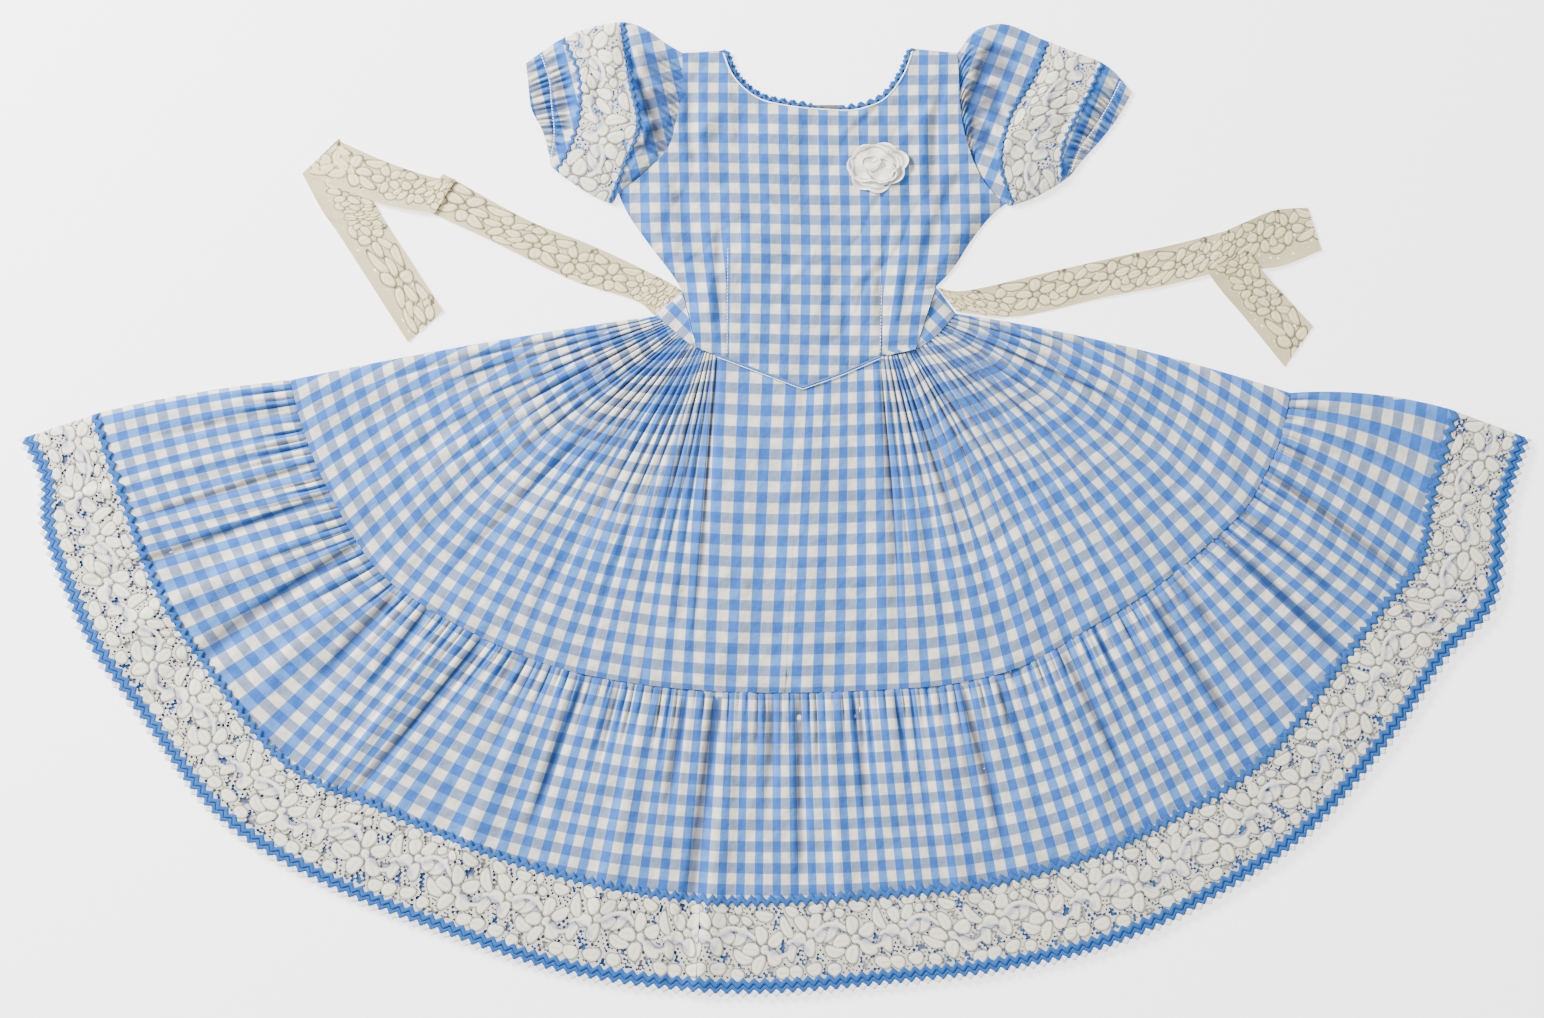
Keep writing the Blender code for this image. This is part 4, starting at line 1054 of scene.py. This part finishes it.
def distance_to(points, line):
    """Distance from each point to a dense line."""
    flat = points.reshape(-1, 2)
    best = np.full(len(flat), 1e9)
    for point in line:
        best = np.minimum(best, np.hypot(flat[:, 0] - point[0], flat[:, 1] - point[1]))
    return best.reshape(points.shape[:-1])


def bodice_height(plan):
    """Height of the bodice front: rounded over the bust, down to the back at its edges."""
    x, y = plan[..., 0], plan[..., 1]
    edges = np.vstack([along(curve, np.linspace(0, 1, 40)) for curve in
                       (SIDE_LEFT, SIDE_RIGHT, SHOULDER_LEFT, SHOULDER_RIGHT)])
    away = distance_to(plan, edges)
    bust = sum(2.2 * np.exp(-(((x - place) / 44) ** 2) - ((y - 345) / 60) ** 2) for place in (-30, 125))
    soft = 1.25 * crumple(x, y)
    dart = 1.6 * np.exp(-(((x - DART_X[0]) / 1.6) ** 2)) * eased((300 - y) / 30)
    dart += 1.4 * np.exp(-(((x - DART_X[1]) / 1.6) ** 2)) * eased((258 - y) / 30)
    height = 6.4 + bust + soft - dart + 1.5 * crease_height(x, y, BODICE_CREASES)
    seam = distance_to(plan, np.vstack([along(WAIST_CENTRE_LEFT, np.linspace(0, 1, 60)),
                                        along(WAIST_CENTRE_RIGHT, np.linspace(0, 1, 60))]))
    height -= 1.6 * np.exp(-seam / 3.0)
    return side_drop(height, away, 9.0, 1.6)


def stitch_line(name, node, look, line, height, half=0.5, dash=None, lift=0.35):
    """A thin raised line of thread along a path, in dashes if asked."""
    length = line_length(line)
    marks = []
    if dash:
        step, on = dash
        marks = [(k * step / length, (k * step + on) / length) for k in range(int(length / step))]
    else:
        marks = [(0.0, 1.0)]
    points, faces = [], []
    for start, stop in marks:
        shares = np.linspace(start, min(stop, 1), max(int((stop - start) * length / 2.5), 1) + 1)
        middle = along(line, shares)
        way = np.gradient(middle, axis=0)
        way /= np.maximum(np.linalg.norm(way, axis=1), 1e-9)[:, None]
        side = np.column_stack([-way[:, 1], way[:, 0]])
        level = height(middle) + lift
        base = len(points)
        for k in range(len(shares)):
            for across, rise in ((-1, -0.3), (-0.4, 0.25), (0.4, 0.25), (1, -0.3)):
                points.append((*(middle[k] + side[k] * half * across), level[k] + rise))
        for k in range(len(shares) - 1):
            for j in range(3):
                a = base + k * 4 + j
                faces.append((a, a + 4, a + 5, a + 1))
    points = np.array(points)
    item = make_mesh(name, points, faces, points[:, :2] / REPEAT, look)
    return finish_piece(item, node)


# Columns of the bodice along armhole, shoulder, neck, shoulder and armhole, and its rows
BODICE_COUNTS = (36, 10, 64, 10, 36)
BODICE_ROWS = 96


def bodice():
    """Front, two turned side pieces and the back in two halves."""
    counts = BODICE_COUNTS
    steps = sum(counts)
    rows = BODICE_ROWS
    top = chain((ARMHOLE_LEFT, SHOULDER_LEFT, NECKLINE, SHOULDER_RIGHT, ARMHOLE_RIGHT), counts)
    half = steps // 2
    waist = np.vstack([[SIDE_SEAM_LEFT[1]], along(WAIST_CENTRE_LEFT, np.linspace(0, 1, half))[:-1],
                       along(WAIST_CENTRE_RIGHT, np.linspace(0, 1, half)), [SIDE_SEAM_RIGHT[1]]])
    split = rows * 5 // 8
    left = np.vstack([along(SIDE_LEFT, np.linspace(0, 1, split + 1)),
                      along(SIDE_SEAM_LEFT, np.linspace(0, 1, rows - split + 1))[1:]])
    right = np.vstack([along(SIDE_RIGHT, np.linspace(0, 1, split + 1)),
                       along(SIDE_SEAM_RIGHT, np.linspace(0, 1, rows - split + 1))[1:]])
    plan = fill_patch(top, waist, left, right)
    height = bodice_height(plan)
    x, y = plan[..., 0], plan[..., 1]
    taken = 14 * eased((340 - y) / 160)
    u = x + taken * (eased((x - DART_X[1]) / 3 + 0.5) - eased((DART_X[0] - x) / 3 + 0.5)) + 1.6 * np.sin(y / 60)
    v = y + 1.8 * np.sin(x / 70)
    cloth = np.dstack([u, v])
    # Painted shade: the bodice front darkens where it lies low, toward its edges, along the waist seam, in the darts
    # and in creases.
    sunk = np.clip((6.0 - height) / 9, 0, 0.5)
    sheet_piece("bodice_front", "bodice_front", "gingham", "gingham", np.dstack([plan, height]), cloth, "laid",
                ["bodice_back_left", "bodice_back_right"], uv=cloth / BODICE_REPEAT, hollow=sunk)

    sides = (
        ("bodice_side_left", SIDE_SEAM_LEFT, along(WAIST_LEFT, np.linspace(0, 0.78, 15)), -1),
        ("bodice_side_right", SIDE_SEAM_RIGHT, along(WAIST_RIGHT, np.linspace(1, 0.42, 15)), 1),
    )
    for name, seam, edge, way in sides:
        apex = np.array(seam[0], float) + (way * 0.8, -1.5)
        start = np.array([apex + (way * k * 0.15, -k * 0.12) for k in range(14, -1, -1)])
        ends = edge + (0, 0.1)
        ends[-1] = np.array(seam[1], float) + (way * 0.6, 0.3)
        piece_plan = rows_between(start, ends, np.linspace(0, 1, 18))
        outer = np.linalg.norm(piece_plan - piece_plan[:, :1], axis=2)
        level = side_drop(np.full(outer.shape, 4.6), outer, 7.0, 1.6)
        cloth = piece_plan.copy()
        p, q = turned(cloth[..., 0], cloth[..., 1], 45)
        sheet_piece(name, name, "gingham", "gingham", np.dstack([piece_plan, level]), cloth, "laid",
                    ["bodice_back_left", "bodice_back_right"], uv=np.dstack([p, q]) / BODICE_REPEAT,
                    flip=way > 0)

    neck_back = np.array(NECKLINE, float) + (0, BACK_NECK_RISE)
    neck_back[0], neck_back[-1] = NECKLINE[0], NECKLINE[-1]
    top = chain((ARMHOLE_LEFT, SHOULDER_LEFT, neck_back, SHOULDER_RIGHT, ARMHOLE_RIGHT), counts)
    waist = along(WAIST_BACK, np.linspace(0, 1, len(top)))
    left = np.vstack([along(SIDE_LEFT, np.linspace(0, 1, 30)), [WAIST_BACK[0]]])
    right = np.vstack([along(SIDE_RIGHT, np.linspace(0, 1, 30)), [WAIST_BACK[-1]]])
    plan = fill_patch(top, waist, left, right)
    middle = sum(counts[:2]) + int(counts[2] * 8 / 14)
    for name, half_plan in (("bodice_back_left", plan[:, :middle + 1]), ("bodice_back_right", plan[:, middle:])):
        level = 0.9 + 0.25 * np.sin(half_plan[..., 0] / 13)
        sheet_piece(name, name, "gingham", "gingham", np.dstack([half_plan, level]), half_plan, "laid", ["floor"],
                    uv=half_plan / BODICE_REPEAT, flip=True)


def flat_level(value):
    """A height function that is the same everywhere."""
    return lambda points: np.full(len(points), value)


def over_bodice(points):
    """Height of the bodice front at a row of points."""
    return bodice_height(points[None])[0]


def bodice_details():
    """Neck edge, seam and dart lines, the neck rickrack and the top of the back fastening."""
    shares = np.linspace(0, 1, 60)
    neck = along(NECKLINE, shares)
    stitch_line("neck_stitching", "bodice_front", "thread", neck - (0, 0.6), over_bodice, 0.8, lift=0.5)
    for name, curve in (("waist_seam_left", WAIST_CENTRE_LEFT), ("waist_seam_right", WAIST_CENTRE_RIGHT)):
        line = along(curve, np.linspace(0, 1, 30))
        stitch_line(name, "bodice_front", "piping", line + (0, 0.6), flat_level(6.0), 1.1, lift=0.8)
        stitch_line(name + "_lower", "bodice_front", "thread", line - (0, 1.8), flat_level(5.6), 0.5,
                    lift=0.6)
    for name, line in (("dart_left", ((DART_X[0], 305), (-55.5, 178))), ("dart_right", ((DART_X[1], 262), (123.5, 180)))):
        stitch_line(name, "bodice_front", "thread", np.array(line, float), over_bodice, 0.4,
                    dash=(4.0, 2.8), lift=0.5)
    normal = np.gradient(neck, axis=0)
    normal = np.column_stack([-normal[:, 1], normal[:, 0]]) / np.linalg.norm(normal, axis=1)[:, None]
    length = line_length(neck)
    low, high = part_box("back_closure")
    closure_x = (low[0] + high[0]) / 2 / MM

    def beside(level, rise):
        def place(s, offset):
            part = s.ravel() / length
            base = along(NECKLINE, part)
            lowered = 5.5 * np.exp(-(((base[:, 0] - closure_x) / 13) ** 2)) * (rise < 3)
            out = np.column_stack([np.interp(part, shares, normal[:, k]) for k in (0, 1)])
            plan = base + out * (offset.ravel() + rise - lowered)[:, None]
            return on_grid(plan, level, s)
        return place
    rickrack_band("neck_rickrack_front", "neck_rickrack_front", "rickrack", "rickrack", beside(3.2, 2.4), length,
                  NECK_PITCH, 2.6, 2.9, ["bodice_back_left"], samples=6, lift=1.2)
    gap = [np.clip(np.interp(x / MM, neck[:, 0], shares), 0, 1) for x in (low[0] - 0.002, high[0] + 0.002)]
    for name, first, last in (("neck_rickrack_back_left", 0.02, gap[0]), ("neck_rickrack_back_right", gap[1], 0.98)):
        def place(s, offset, first=first):
            return beside(1.4, 3.6)(s + first * length, offset)
        rickrack_band(name, name, "rickrack", "rickrack", place, (last - first) * length, NECK_PITCH, 2.4, 2.7,
                      ["bodice_back_left"], samples=6, lift=0.9)
    rows, columns = 40, 5
    xs = np.linspace(low[0] / MM, high[0] / MM, columns)
    ys = np.linspace(high[1] / MM, low[1] / MM, rows)
    gx, gy = np.meshgrid(xs, ys)
    points = np.dstack([gx, gy, 1.9 + 0.3 * np.sin(gy / 6)])
    sheet_piece("back_closure", "back_closure", "tape", "tape", points, points[..., :2], "laid",
                ["bodice_back_left", "bodice_back_right"])
    dots = []
    faces = []
    for k, dx in enumerate((-7.0, 4.5)):
        base = len(dots)
        angles = np.linspace(0, 2 * np.pi, 12, endpoint=False)
        dots.append((closure_x + dx, high[1] / MM - 6.5, 3.9))
        for radius, z in ((1.2, 3.6), (1.9, 2.6)):
            dots += [(closure_x + dx + radius * np.cos(a), high[1] / MM - 6.5 + radius * np.sin(a), z) for a in angles]
        for j in range(12):
            after = (j + 1) % 12
            faces.append((base, base + 1 + j, base + 1 + after))
            faces.append((base + 1 + j, base + 13 + j, base + 13 + after))
            faces.append((base + 1 + j, base + 13 + after, base + 1 + after))
    dots = np.array(dots)
    item = make_mesh("closure_hooks", dots, faces, dots[:, :2] / REPEAT, "hook")
    finish_piece(item, "back_closure")


# Sleeve creases: the deep fold beside each cap, then softer ones; start, end, height, half width
SLEEVE_CREASES = {
    "left": (
        (-178, 566, -160, 508, -7.0, 5),
        (-160, 508, -136, 455, -7.5, 5),
        (-196, 565, -186, 500, 3.0, 11),
        (-150, 470, -128, 428, -3.0, 6),
        (-210, 500, -190, 440, -2.6, 9),
        (-214, 470, -176, 410, 2.6, 9),
        (-236, 540, -214, 480, 2.2, 10),
        (-250, 500, -240, 440, -2.6, 8),
    ),
    "right": (
        (262, 552, 240, 500, -7.0, 5),
        (250, 520, 226, 462, -6.0, 5),
        (292, 556, 276, 500, 3.0, 11),
        (238, 470, 232, 424, -3.0, 6),
        (306, 500, 276, 440, -2.6, 9),
        (300, 470, 262, 400, 2.6, 9),
        (338, 520, 312, 470, 2.2, 10),
        (352, 480, 330, 420, -2.6, 8),
    ),
}
CAP_GATHERS = 17
CUFF_GATHERS = 34
ELASTIC_ROW = 0.89
SLEEVE_RISE = ((0, 0.06, 0.2, 0.5, 0.78, 0.89, 0.93, 1), (4.0, 8.0, 11.5, 12.0, 9.0, 5.4, 6.0, 3.6))


def sleeve(side):
    """Puffed sleeve tube, its lace band, two rickracks, elastic line and cuff frill."""
    curve = {"left": ARMHOLE_LEFT[::-1], "right": ARMHOLE_RIGHT}[side]

    def plan_at(rows, shares):
        lines = np.array([along(curve, shares)] + [along(section, shares) for section in SLEEVES[side]])
        return smooth_at(lines, SLEEVE_STATIONS, rows)

    dense_rows, dense_shares = np.linspace(0, 1, 81), np.linspace(0, 1, 101)
    dense_plan = plan_at(dense_rows, dense_shares)

    def locate(rows, shares):
        """Points at scattered rows and shares."""
        r, c = np.clip(rows, 0, 1) * 80, np.clip(shares, 0, 1) * 100
        i, j = np.minimum(r.astype(int), 79), np.minimum(c.astype(int), 99)
        fr, fc = (r - i)[..., None], (c - j)[..., None]
        return ((dense_plan[i, j] * (1 - fr) + dense_plan[i + 1, j] * fr) * (1 - fc)
                + (dense_plan[i, j + 1] * (1 - fr) + dense_plan[i + 1, j + 1] * fr) * fc)

    def front_height(rows, shares):
        plan = locate(rows, shares)
        rise = np.interp(rows, *SLEEVE_RISE)
        round_off = np.clip(np.sin(np.pi * shares), 0, 1) ** 0.45
        height = 2.4 + (rise - 2.4) * round_off
        borders = np.linspace(0.02, 0.66, CAP_GATHERS)
        depth, reach = uneven(CAP_GATHERS, 2.2, 0.5, 1.2), uneven(CAP_GATHERS, 0.3, 0.1, 0.34)
        hollow = np.zeros_like(height)
        for b, d, far in zip(borders, depth, reach):
            off = (shares - b - 0.05 * rows) * 190
            half = 2.2 + 12 * rows
            hollow += 4.6 * d * np.exp(-((off / half) ** 2)) * eased((far + 0.06 - rows) / 0.1)
        for k in range(CUFF_GATHERS):
            b = (k + 0.5 + 0.35 * np.sin(k * 2.4)) / CUFF_GATHERS
            d = 0.7 + 0.4 * np.sin(k * 3.3)
            off = (shares - b) * 150
            hollow += 3.8 * d * np.exp(-((off / 1.9) ** 2)) * eased((rows - 0.74) / 0.08)
        hollow *= round_off
        folds = crease_height(plan[..., 0], plan[..., 1], SLEEVE_CREASES[side]) * round_off
        line = 1.8 * np.exp(-(((rows - ELASTIC_ROW) / 0.012) ** 2)) * round_off
        # The second value is painted shade in the cap and cuff gathers and in the sunk creases.
        return np.clip(height - hollow + folds - line, 2.2, None), np.clip(hollow / 4 - np.minimum(folds, 0) / 7, 0, 1)

    rows = np.concatenate([np.linspace(0, 0.3, 26), np.linspace(0.32, 0.74, 16), np.linspace(0.76, 1, 26)])
    shares = np.linspace(0, 1, 91)
    gr, gs = np.meshgrid(rows, shares, indexing="ij")
    plan = plan_at(rows, shares)
    height, hollow = front_height(gr, gs)
    back_shares = np.linspace(1, 0, 25)[1:-1]
    back = plan_at(rows, back_shares)
    level = np.interp(rows, (0, 0.05, 0.95, 1), (0.8, 1.9, 1.9, 1.0))[:, None] + np.zeros(back.shape[:2])
    ring = np.concatenate([np.dstack([plan, height]), np.dstack([back, level])], axis=1)
    ring = np.concatenate([ring, ring[:, :1]], axis=1)
    steps = np.concatenate([shares * 0.5, 1 - back_shares * 0.5, [1.0]])
    long = 150.0
    u = np.repeat(rows[:, None] * long, len(steps), 1)
    v = (steps[None] - 0.25) * np.interp(rows, (0, 0.3, 1), (400, 400, 380))[:, None]
    cloth = np.dstack([u, v])
    # Painted shade on the front of the sleeve; the back gets none.
    dark = np.concatenate([hollow, np.zeros(back.shape[:2]), hollow[:, :1]], axis=1)
    flip = side == "right"
    turn = {"left": 14, "right": -22}[side]
    p, q = turned(plan[..., 0], plan[..., 1], turn)
    pb, qb = turned(back[..., 0], back[..., 1], turn)
    uv = np.concatenate([np.dstack([p, q]), np.dstack([pb, qb]), np.dstack([p, q])[:, :1]], axis=1) / REPEAT
    sheet_piece(f"sleeve_{side}", f"sleeve_{side}", "gingham", "gingham", ring, cloth, "gathered",
                ["floor"], uv=uv, flip=not flip, hollow=dark)

    mid = locate(np.full(200, 0.55), np.linspace(0, 1, 200))
    length = line_length(mid)
    band = np.linalg.norm(locate(np.array([0.71]), np.array([0.5])) - locate(np.array([0.385]), np.array([0.5])))

    def lace_place(s, t):
        share, row = s.ravel() / length, 0.385 + 0.335 * t.ravel() / band
        plan = locate(row, share)
        z, _ = front_height(row, share)
        return on_grid(plan, z + 0.9, s)

    motif = (HEM_LACE_FLOWERS, HEM_LACE_LEAVES, HEM_LACE_ARCHES)
    lace_piece(f"sleeve_lace_front_{side}", f"sleeve_lace_front_{side}", "lace", "lace", [f"sleeve_{side}"],
               lace_place, length, float(band), LACE_CELL * 0.9, motif, HEM_LACE_REPEAT, 2.2, flip=flip)

    def under_place(s, t):
        share, row = s.ravel() / length, 0.40 + 0.30 * t.ravel() / band
        plan = locate(row, share)
        return on_grid(plan, 0.5, s)
    lace_piece(f"sleeve_lace_back_{side}", f"sleeve_lace_back_{side}", "lace", "lace", ["floor"], under_place,
               length, float(band), LACE_CELL * 2, motif, HEM_LACE_REPEAT, 2.2, flip=not flip)

    for name, row in (("inner", 0.37), ("outer", 0.725)):
        line = locate(np.full(200, row), np.linspace(0, 1, 200))
        run = line_length(line)
        step = np.linalg.norm(locate(np.array([row + 0.01]), np.array([0.5]))
                              - locate(np.array([row]), np.array([0.5]))) / 0.01
        for face in ("front", "back"):
            def place(s, offset, row=row, run=run, step=step, face=face):
                share, at = s.ravel() / run, row + offset.ravel() / step
                plan = locate(at, share)
                z = front_height(at, share)[0] + 1.1 if face == "front" else np.full(len(share), 0.1)
                return on_grid(plan, z, s)
            node = f"sleeve_rickrack_{name}_{face}_{side}"
            rickrack_band(node, node, "rickrack", "rickrack", place, run, SLEEVE_PITCH, 1.7, 2.4, [f"sleeve_{side}"],
                          lift=0.9, flip=flip != (face == "back"))
    elastic = locate(np.full(60, ELASTIC_ROW), np.linspace(0.02, 0.98, 60))
    stitch_line(f"cuff_elastic_{side}", f"sleeve_{side}", "thread", elastic, flat_level(5.0), 0.6,
                dash=(3.4, 2.2), lift=0.6)


def ties():
    """Lace ribbon ties with slightly curled edges."""
    for name, (edge_a, edge_b, levels) in TIES.items():
        knots = np.arange(len(edge_a))
        length = (line_length(edge_a) + line_length(edge_b)) / 2
        width = float(np.linalg.norm(np.subtract(edge_a, edge_b), axis=1).mean())

        def place(s, t, edge_a=edge_a, edge_b=edge_b, levels=levels, knots=knots, length=length, width=width):
            part = s.ravel() / length * knots[-1]
            across = (t.ravel() / width)[:, None]
            plan = smooth_at(edge_a, knots, part) * (1 - across) + smooth_at(edge_b, knots, part) * across
            level = np.interp(part, knots, levels)
            curl = 1.3 * np.abs(2 * across[:, 0] - 1) ** 4 * (0.5 + 0.5 * np.sin(s.ravel() / 31))
            ripple = 0.5 * np.sin(s.ravel() / 17 + 2 * across[:, 0]) ** 2
            return on_grid(plan, level + curl + ripple, s)
        seed = 0.4 * len(name) + len(levels)
        start = np.asarray(edge_a[0]) - np.asarray(edge_b[0])
        way = np.asarray(edge_a[1], float) - np.asarray(edge_a[0], float)
        flip = way[0] * start[1] - way[1] * start[0] < 0
        lace_piece(name, name, "ribbon", "ribbon", ["floor"], place, length, width, LACE_CELL * 0.9,
                   (TIE_LACE_FLOWERS, TIE_LACE_LEAVES, ()), TIE_LACE_REPEAT, seed, hole=1.1, pitch=7.5,
                   opened=-0.2, flip=flip)


def rosette():
    """Four ruffled rounds of lace, one on another."""
    turn = np.linspace(0, 2 * np.pi, 181)
    base = 8.6
    layers = ((0.2, 1.0, 0.0, 7, 1.3, 0.3, 0, 0), (0.1, 0.78, 1.6, 5, 1.7, 1.2, -4, 3),
              (0.0, 0.5, 3.2, 4, 1.6, 2.1, 5, -5), (0.0, 0.3, 4.6, 3, 1.2, 0.4, -7, 4))
    points, faces, cloth, outline = [], [], [], []
    for inner, outer, lift, petals, wave, phase, aside, along_y in layers:
        rings = np.linspace(inner, 1, 16)
        base_index = len(points) * len(turn)
        for k, part in enumerate(rings):
            reach = outer * part
            lobe = 1 - 0.13 * part * (1 - np.abs(np.sin(petals * turn / 2 + phase)))
            lobe = lobe * (1 + 0.05 * part * np.sin(2 * turn + phase) + 0.04 * part * np.sin(3 * turn + 2 * phase))
            flutter = wave * part**2 * np.sin(petals * turn + phase * 3)
            rim = 0.9 * np.exp(-(((part - 0.97) / 0.04) ** 2))
            groove = 0.5 * np.exp(-(((part - 0.86) / 0.03) ** 2))
            x = ROSETTE_CENTRE[0] + aside + ROSETTE_RADII[0] * reach * lobe * np.cos(turn)
            y = ROSETTE_CENTRE[1] + along_y + ROSETTE_RADII[1] * reach * lobe * np.sin(turn)
            z = base + lift + 1.4 * part**1.5 + flutter + rim - groove
            points.append(np.column_stack([x, y, z]))
            # Painted shade: grey lines in the groove near each layer's rim, round each layer's inner edge under the
            # layer above, and along the petal spokes.
            spokes = np.exp(-((np.sin(petals * turn + 5 * part) / 0.18) ** 2)) * 0.35
            line = 0.9 * np.exp(-(((part - 0.86) / 0.04) ** 2)) + 0.6 * (k == 0)
            outline.append(np.clip(line + spokes * (part < 0.8), 0, 1))
            cloth.append(np.column_stack([turn * 42 * outer, np.full(len(turn), part * 40 * outer)]))
        quads = grid_quads(len(rings), len(turn), flip=False)
        faces.append(quads + base_index)
    points, cloth = np.vstack(points), np.vstack(cloth)
    faces = np.vstack(faces)
    outline = np.concatenate(outline)
    # The rosette's crescent value is a lighter share of the same painted shade.
    item = make_mesh("rosette", points, faces, cloth / REPEAT, "rosette", outline=outline,
                     crescent=outline * 0.3)
    item = finish_piece(item, "rosette")


# Light powers, and places in metres
WORLD_LIGHT = 1.25
KEY_POWER = 620.0
KEY_SIZE = 1.2
KEY_PLACE = (-2.9, 2.3, 1.8)
KEY_AIM = (0, -0.05, 0)
FLOOR_GLOW = 1.6
FLOOR_REACH = 6
CAMERA_PLACE = (-0.0029, 0, 5.024)
CAMERA_LENS = 100
CAMERA_SENSOR = 36


def lights_and_floor():
    """Pale floor, even world light, one soft key light and the camera straight above."""
    reach = FLOOR_REACH
    floor_mesh = bpy.data.meshes.new("floor")
    floor_mesh.from_pydata([(-reach, -reach, 0), (reach, -reach, 0), (reach, reach, 0), (-reach, reach, 0)], [], [(0, 1, 2, 3)])
    floor = bpy.data.objects.new("floor", floor_mesh)
    bpy.context.collection.objects.link(floor)
    n = Nodes("pale_floor", 0.95)
    place = n.add("ShaderNodeTexCoord").outputs["Object"]
    tint = n.mix(n.noise(place, 2.0), (0.95, 0.95, 0.95, 1), (0.94, 0.94, 0.94, 1))
    n.shader.inputs["Emission Color"].default_value = (1, 1, 1, 1)
    n.shader.inputs["Emission Strength"].default_value = FLOOR_GLOW
    n.finish(tint)
    floor_mesh.materials.append(n.made)
    world = bpy.data.worlds.new("studio")
    bpy.context.scene.world = world
    world.use_nodes = True
    world.node_tree.nodes["Background"].inputs["Color"].default_value = (1, 1, 1, 1)
    world.node_tree.nodes["Background"].inputs["Strength"].default_value = WORLD_LIGHT
    key_data = bpy.data.lights.new("key", "AREA")
    key_data.energy, key_data.size = KEY_POWER, KEY_SIZE
    key = bpy.data.objects.new("key", key_data)
    bpy.context.collection.objects.link(key)
    key.location = KEY_PLACE
    key.rotation_euler = (Vector(KEY_AIM) - key.location).to_track_quat("-Z", "Y").to_euler()
    camera_data = bpy.data.cameras.new("camera")
    camera_data.lens, camera_data.sensor_width = CAMERA_LENS, CAMERA_SENSOR
    camera = bpy.data.objects.new("camera", camera_data)
    bpy.context.collection.objects.link(camera)
    camera.location = CAMERA_PLACE
    bpy.context.scene.camera = camera


tier()
ruffle()
hem_trim()
bodice()
bodice_details()
for one_side in SLEEVES:
    sleeve(one_side)
ties()
rosette()
lights_and_floor()
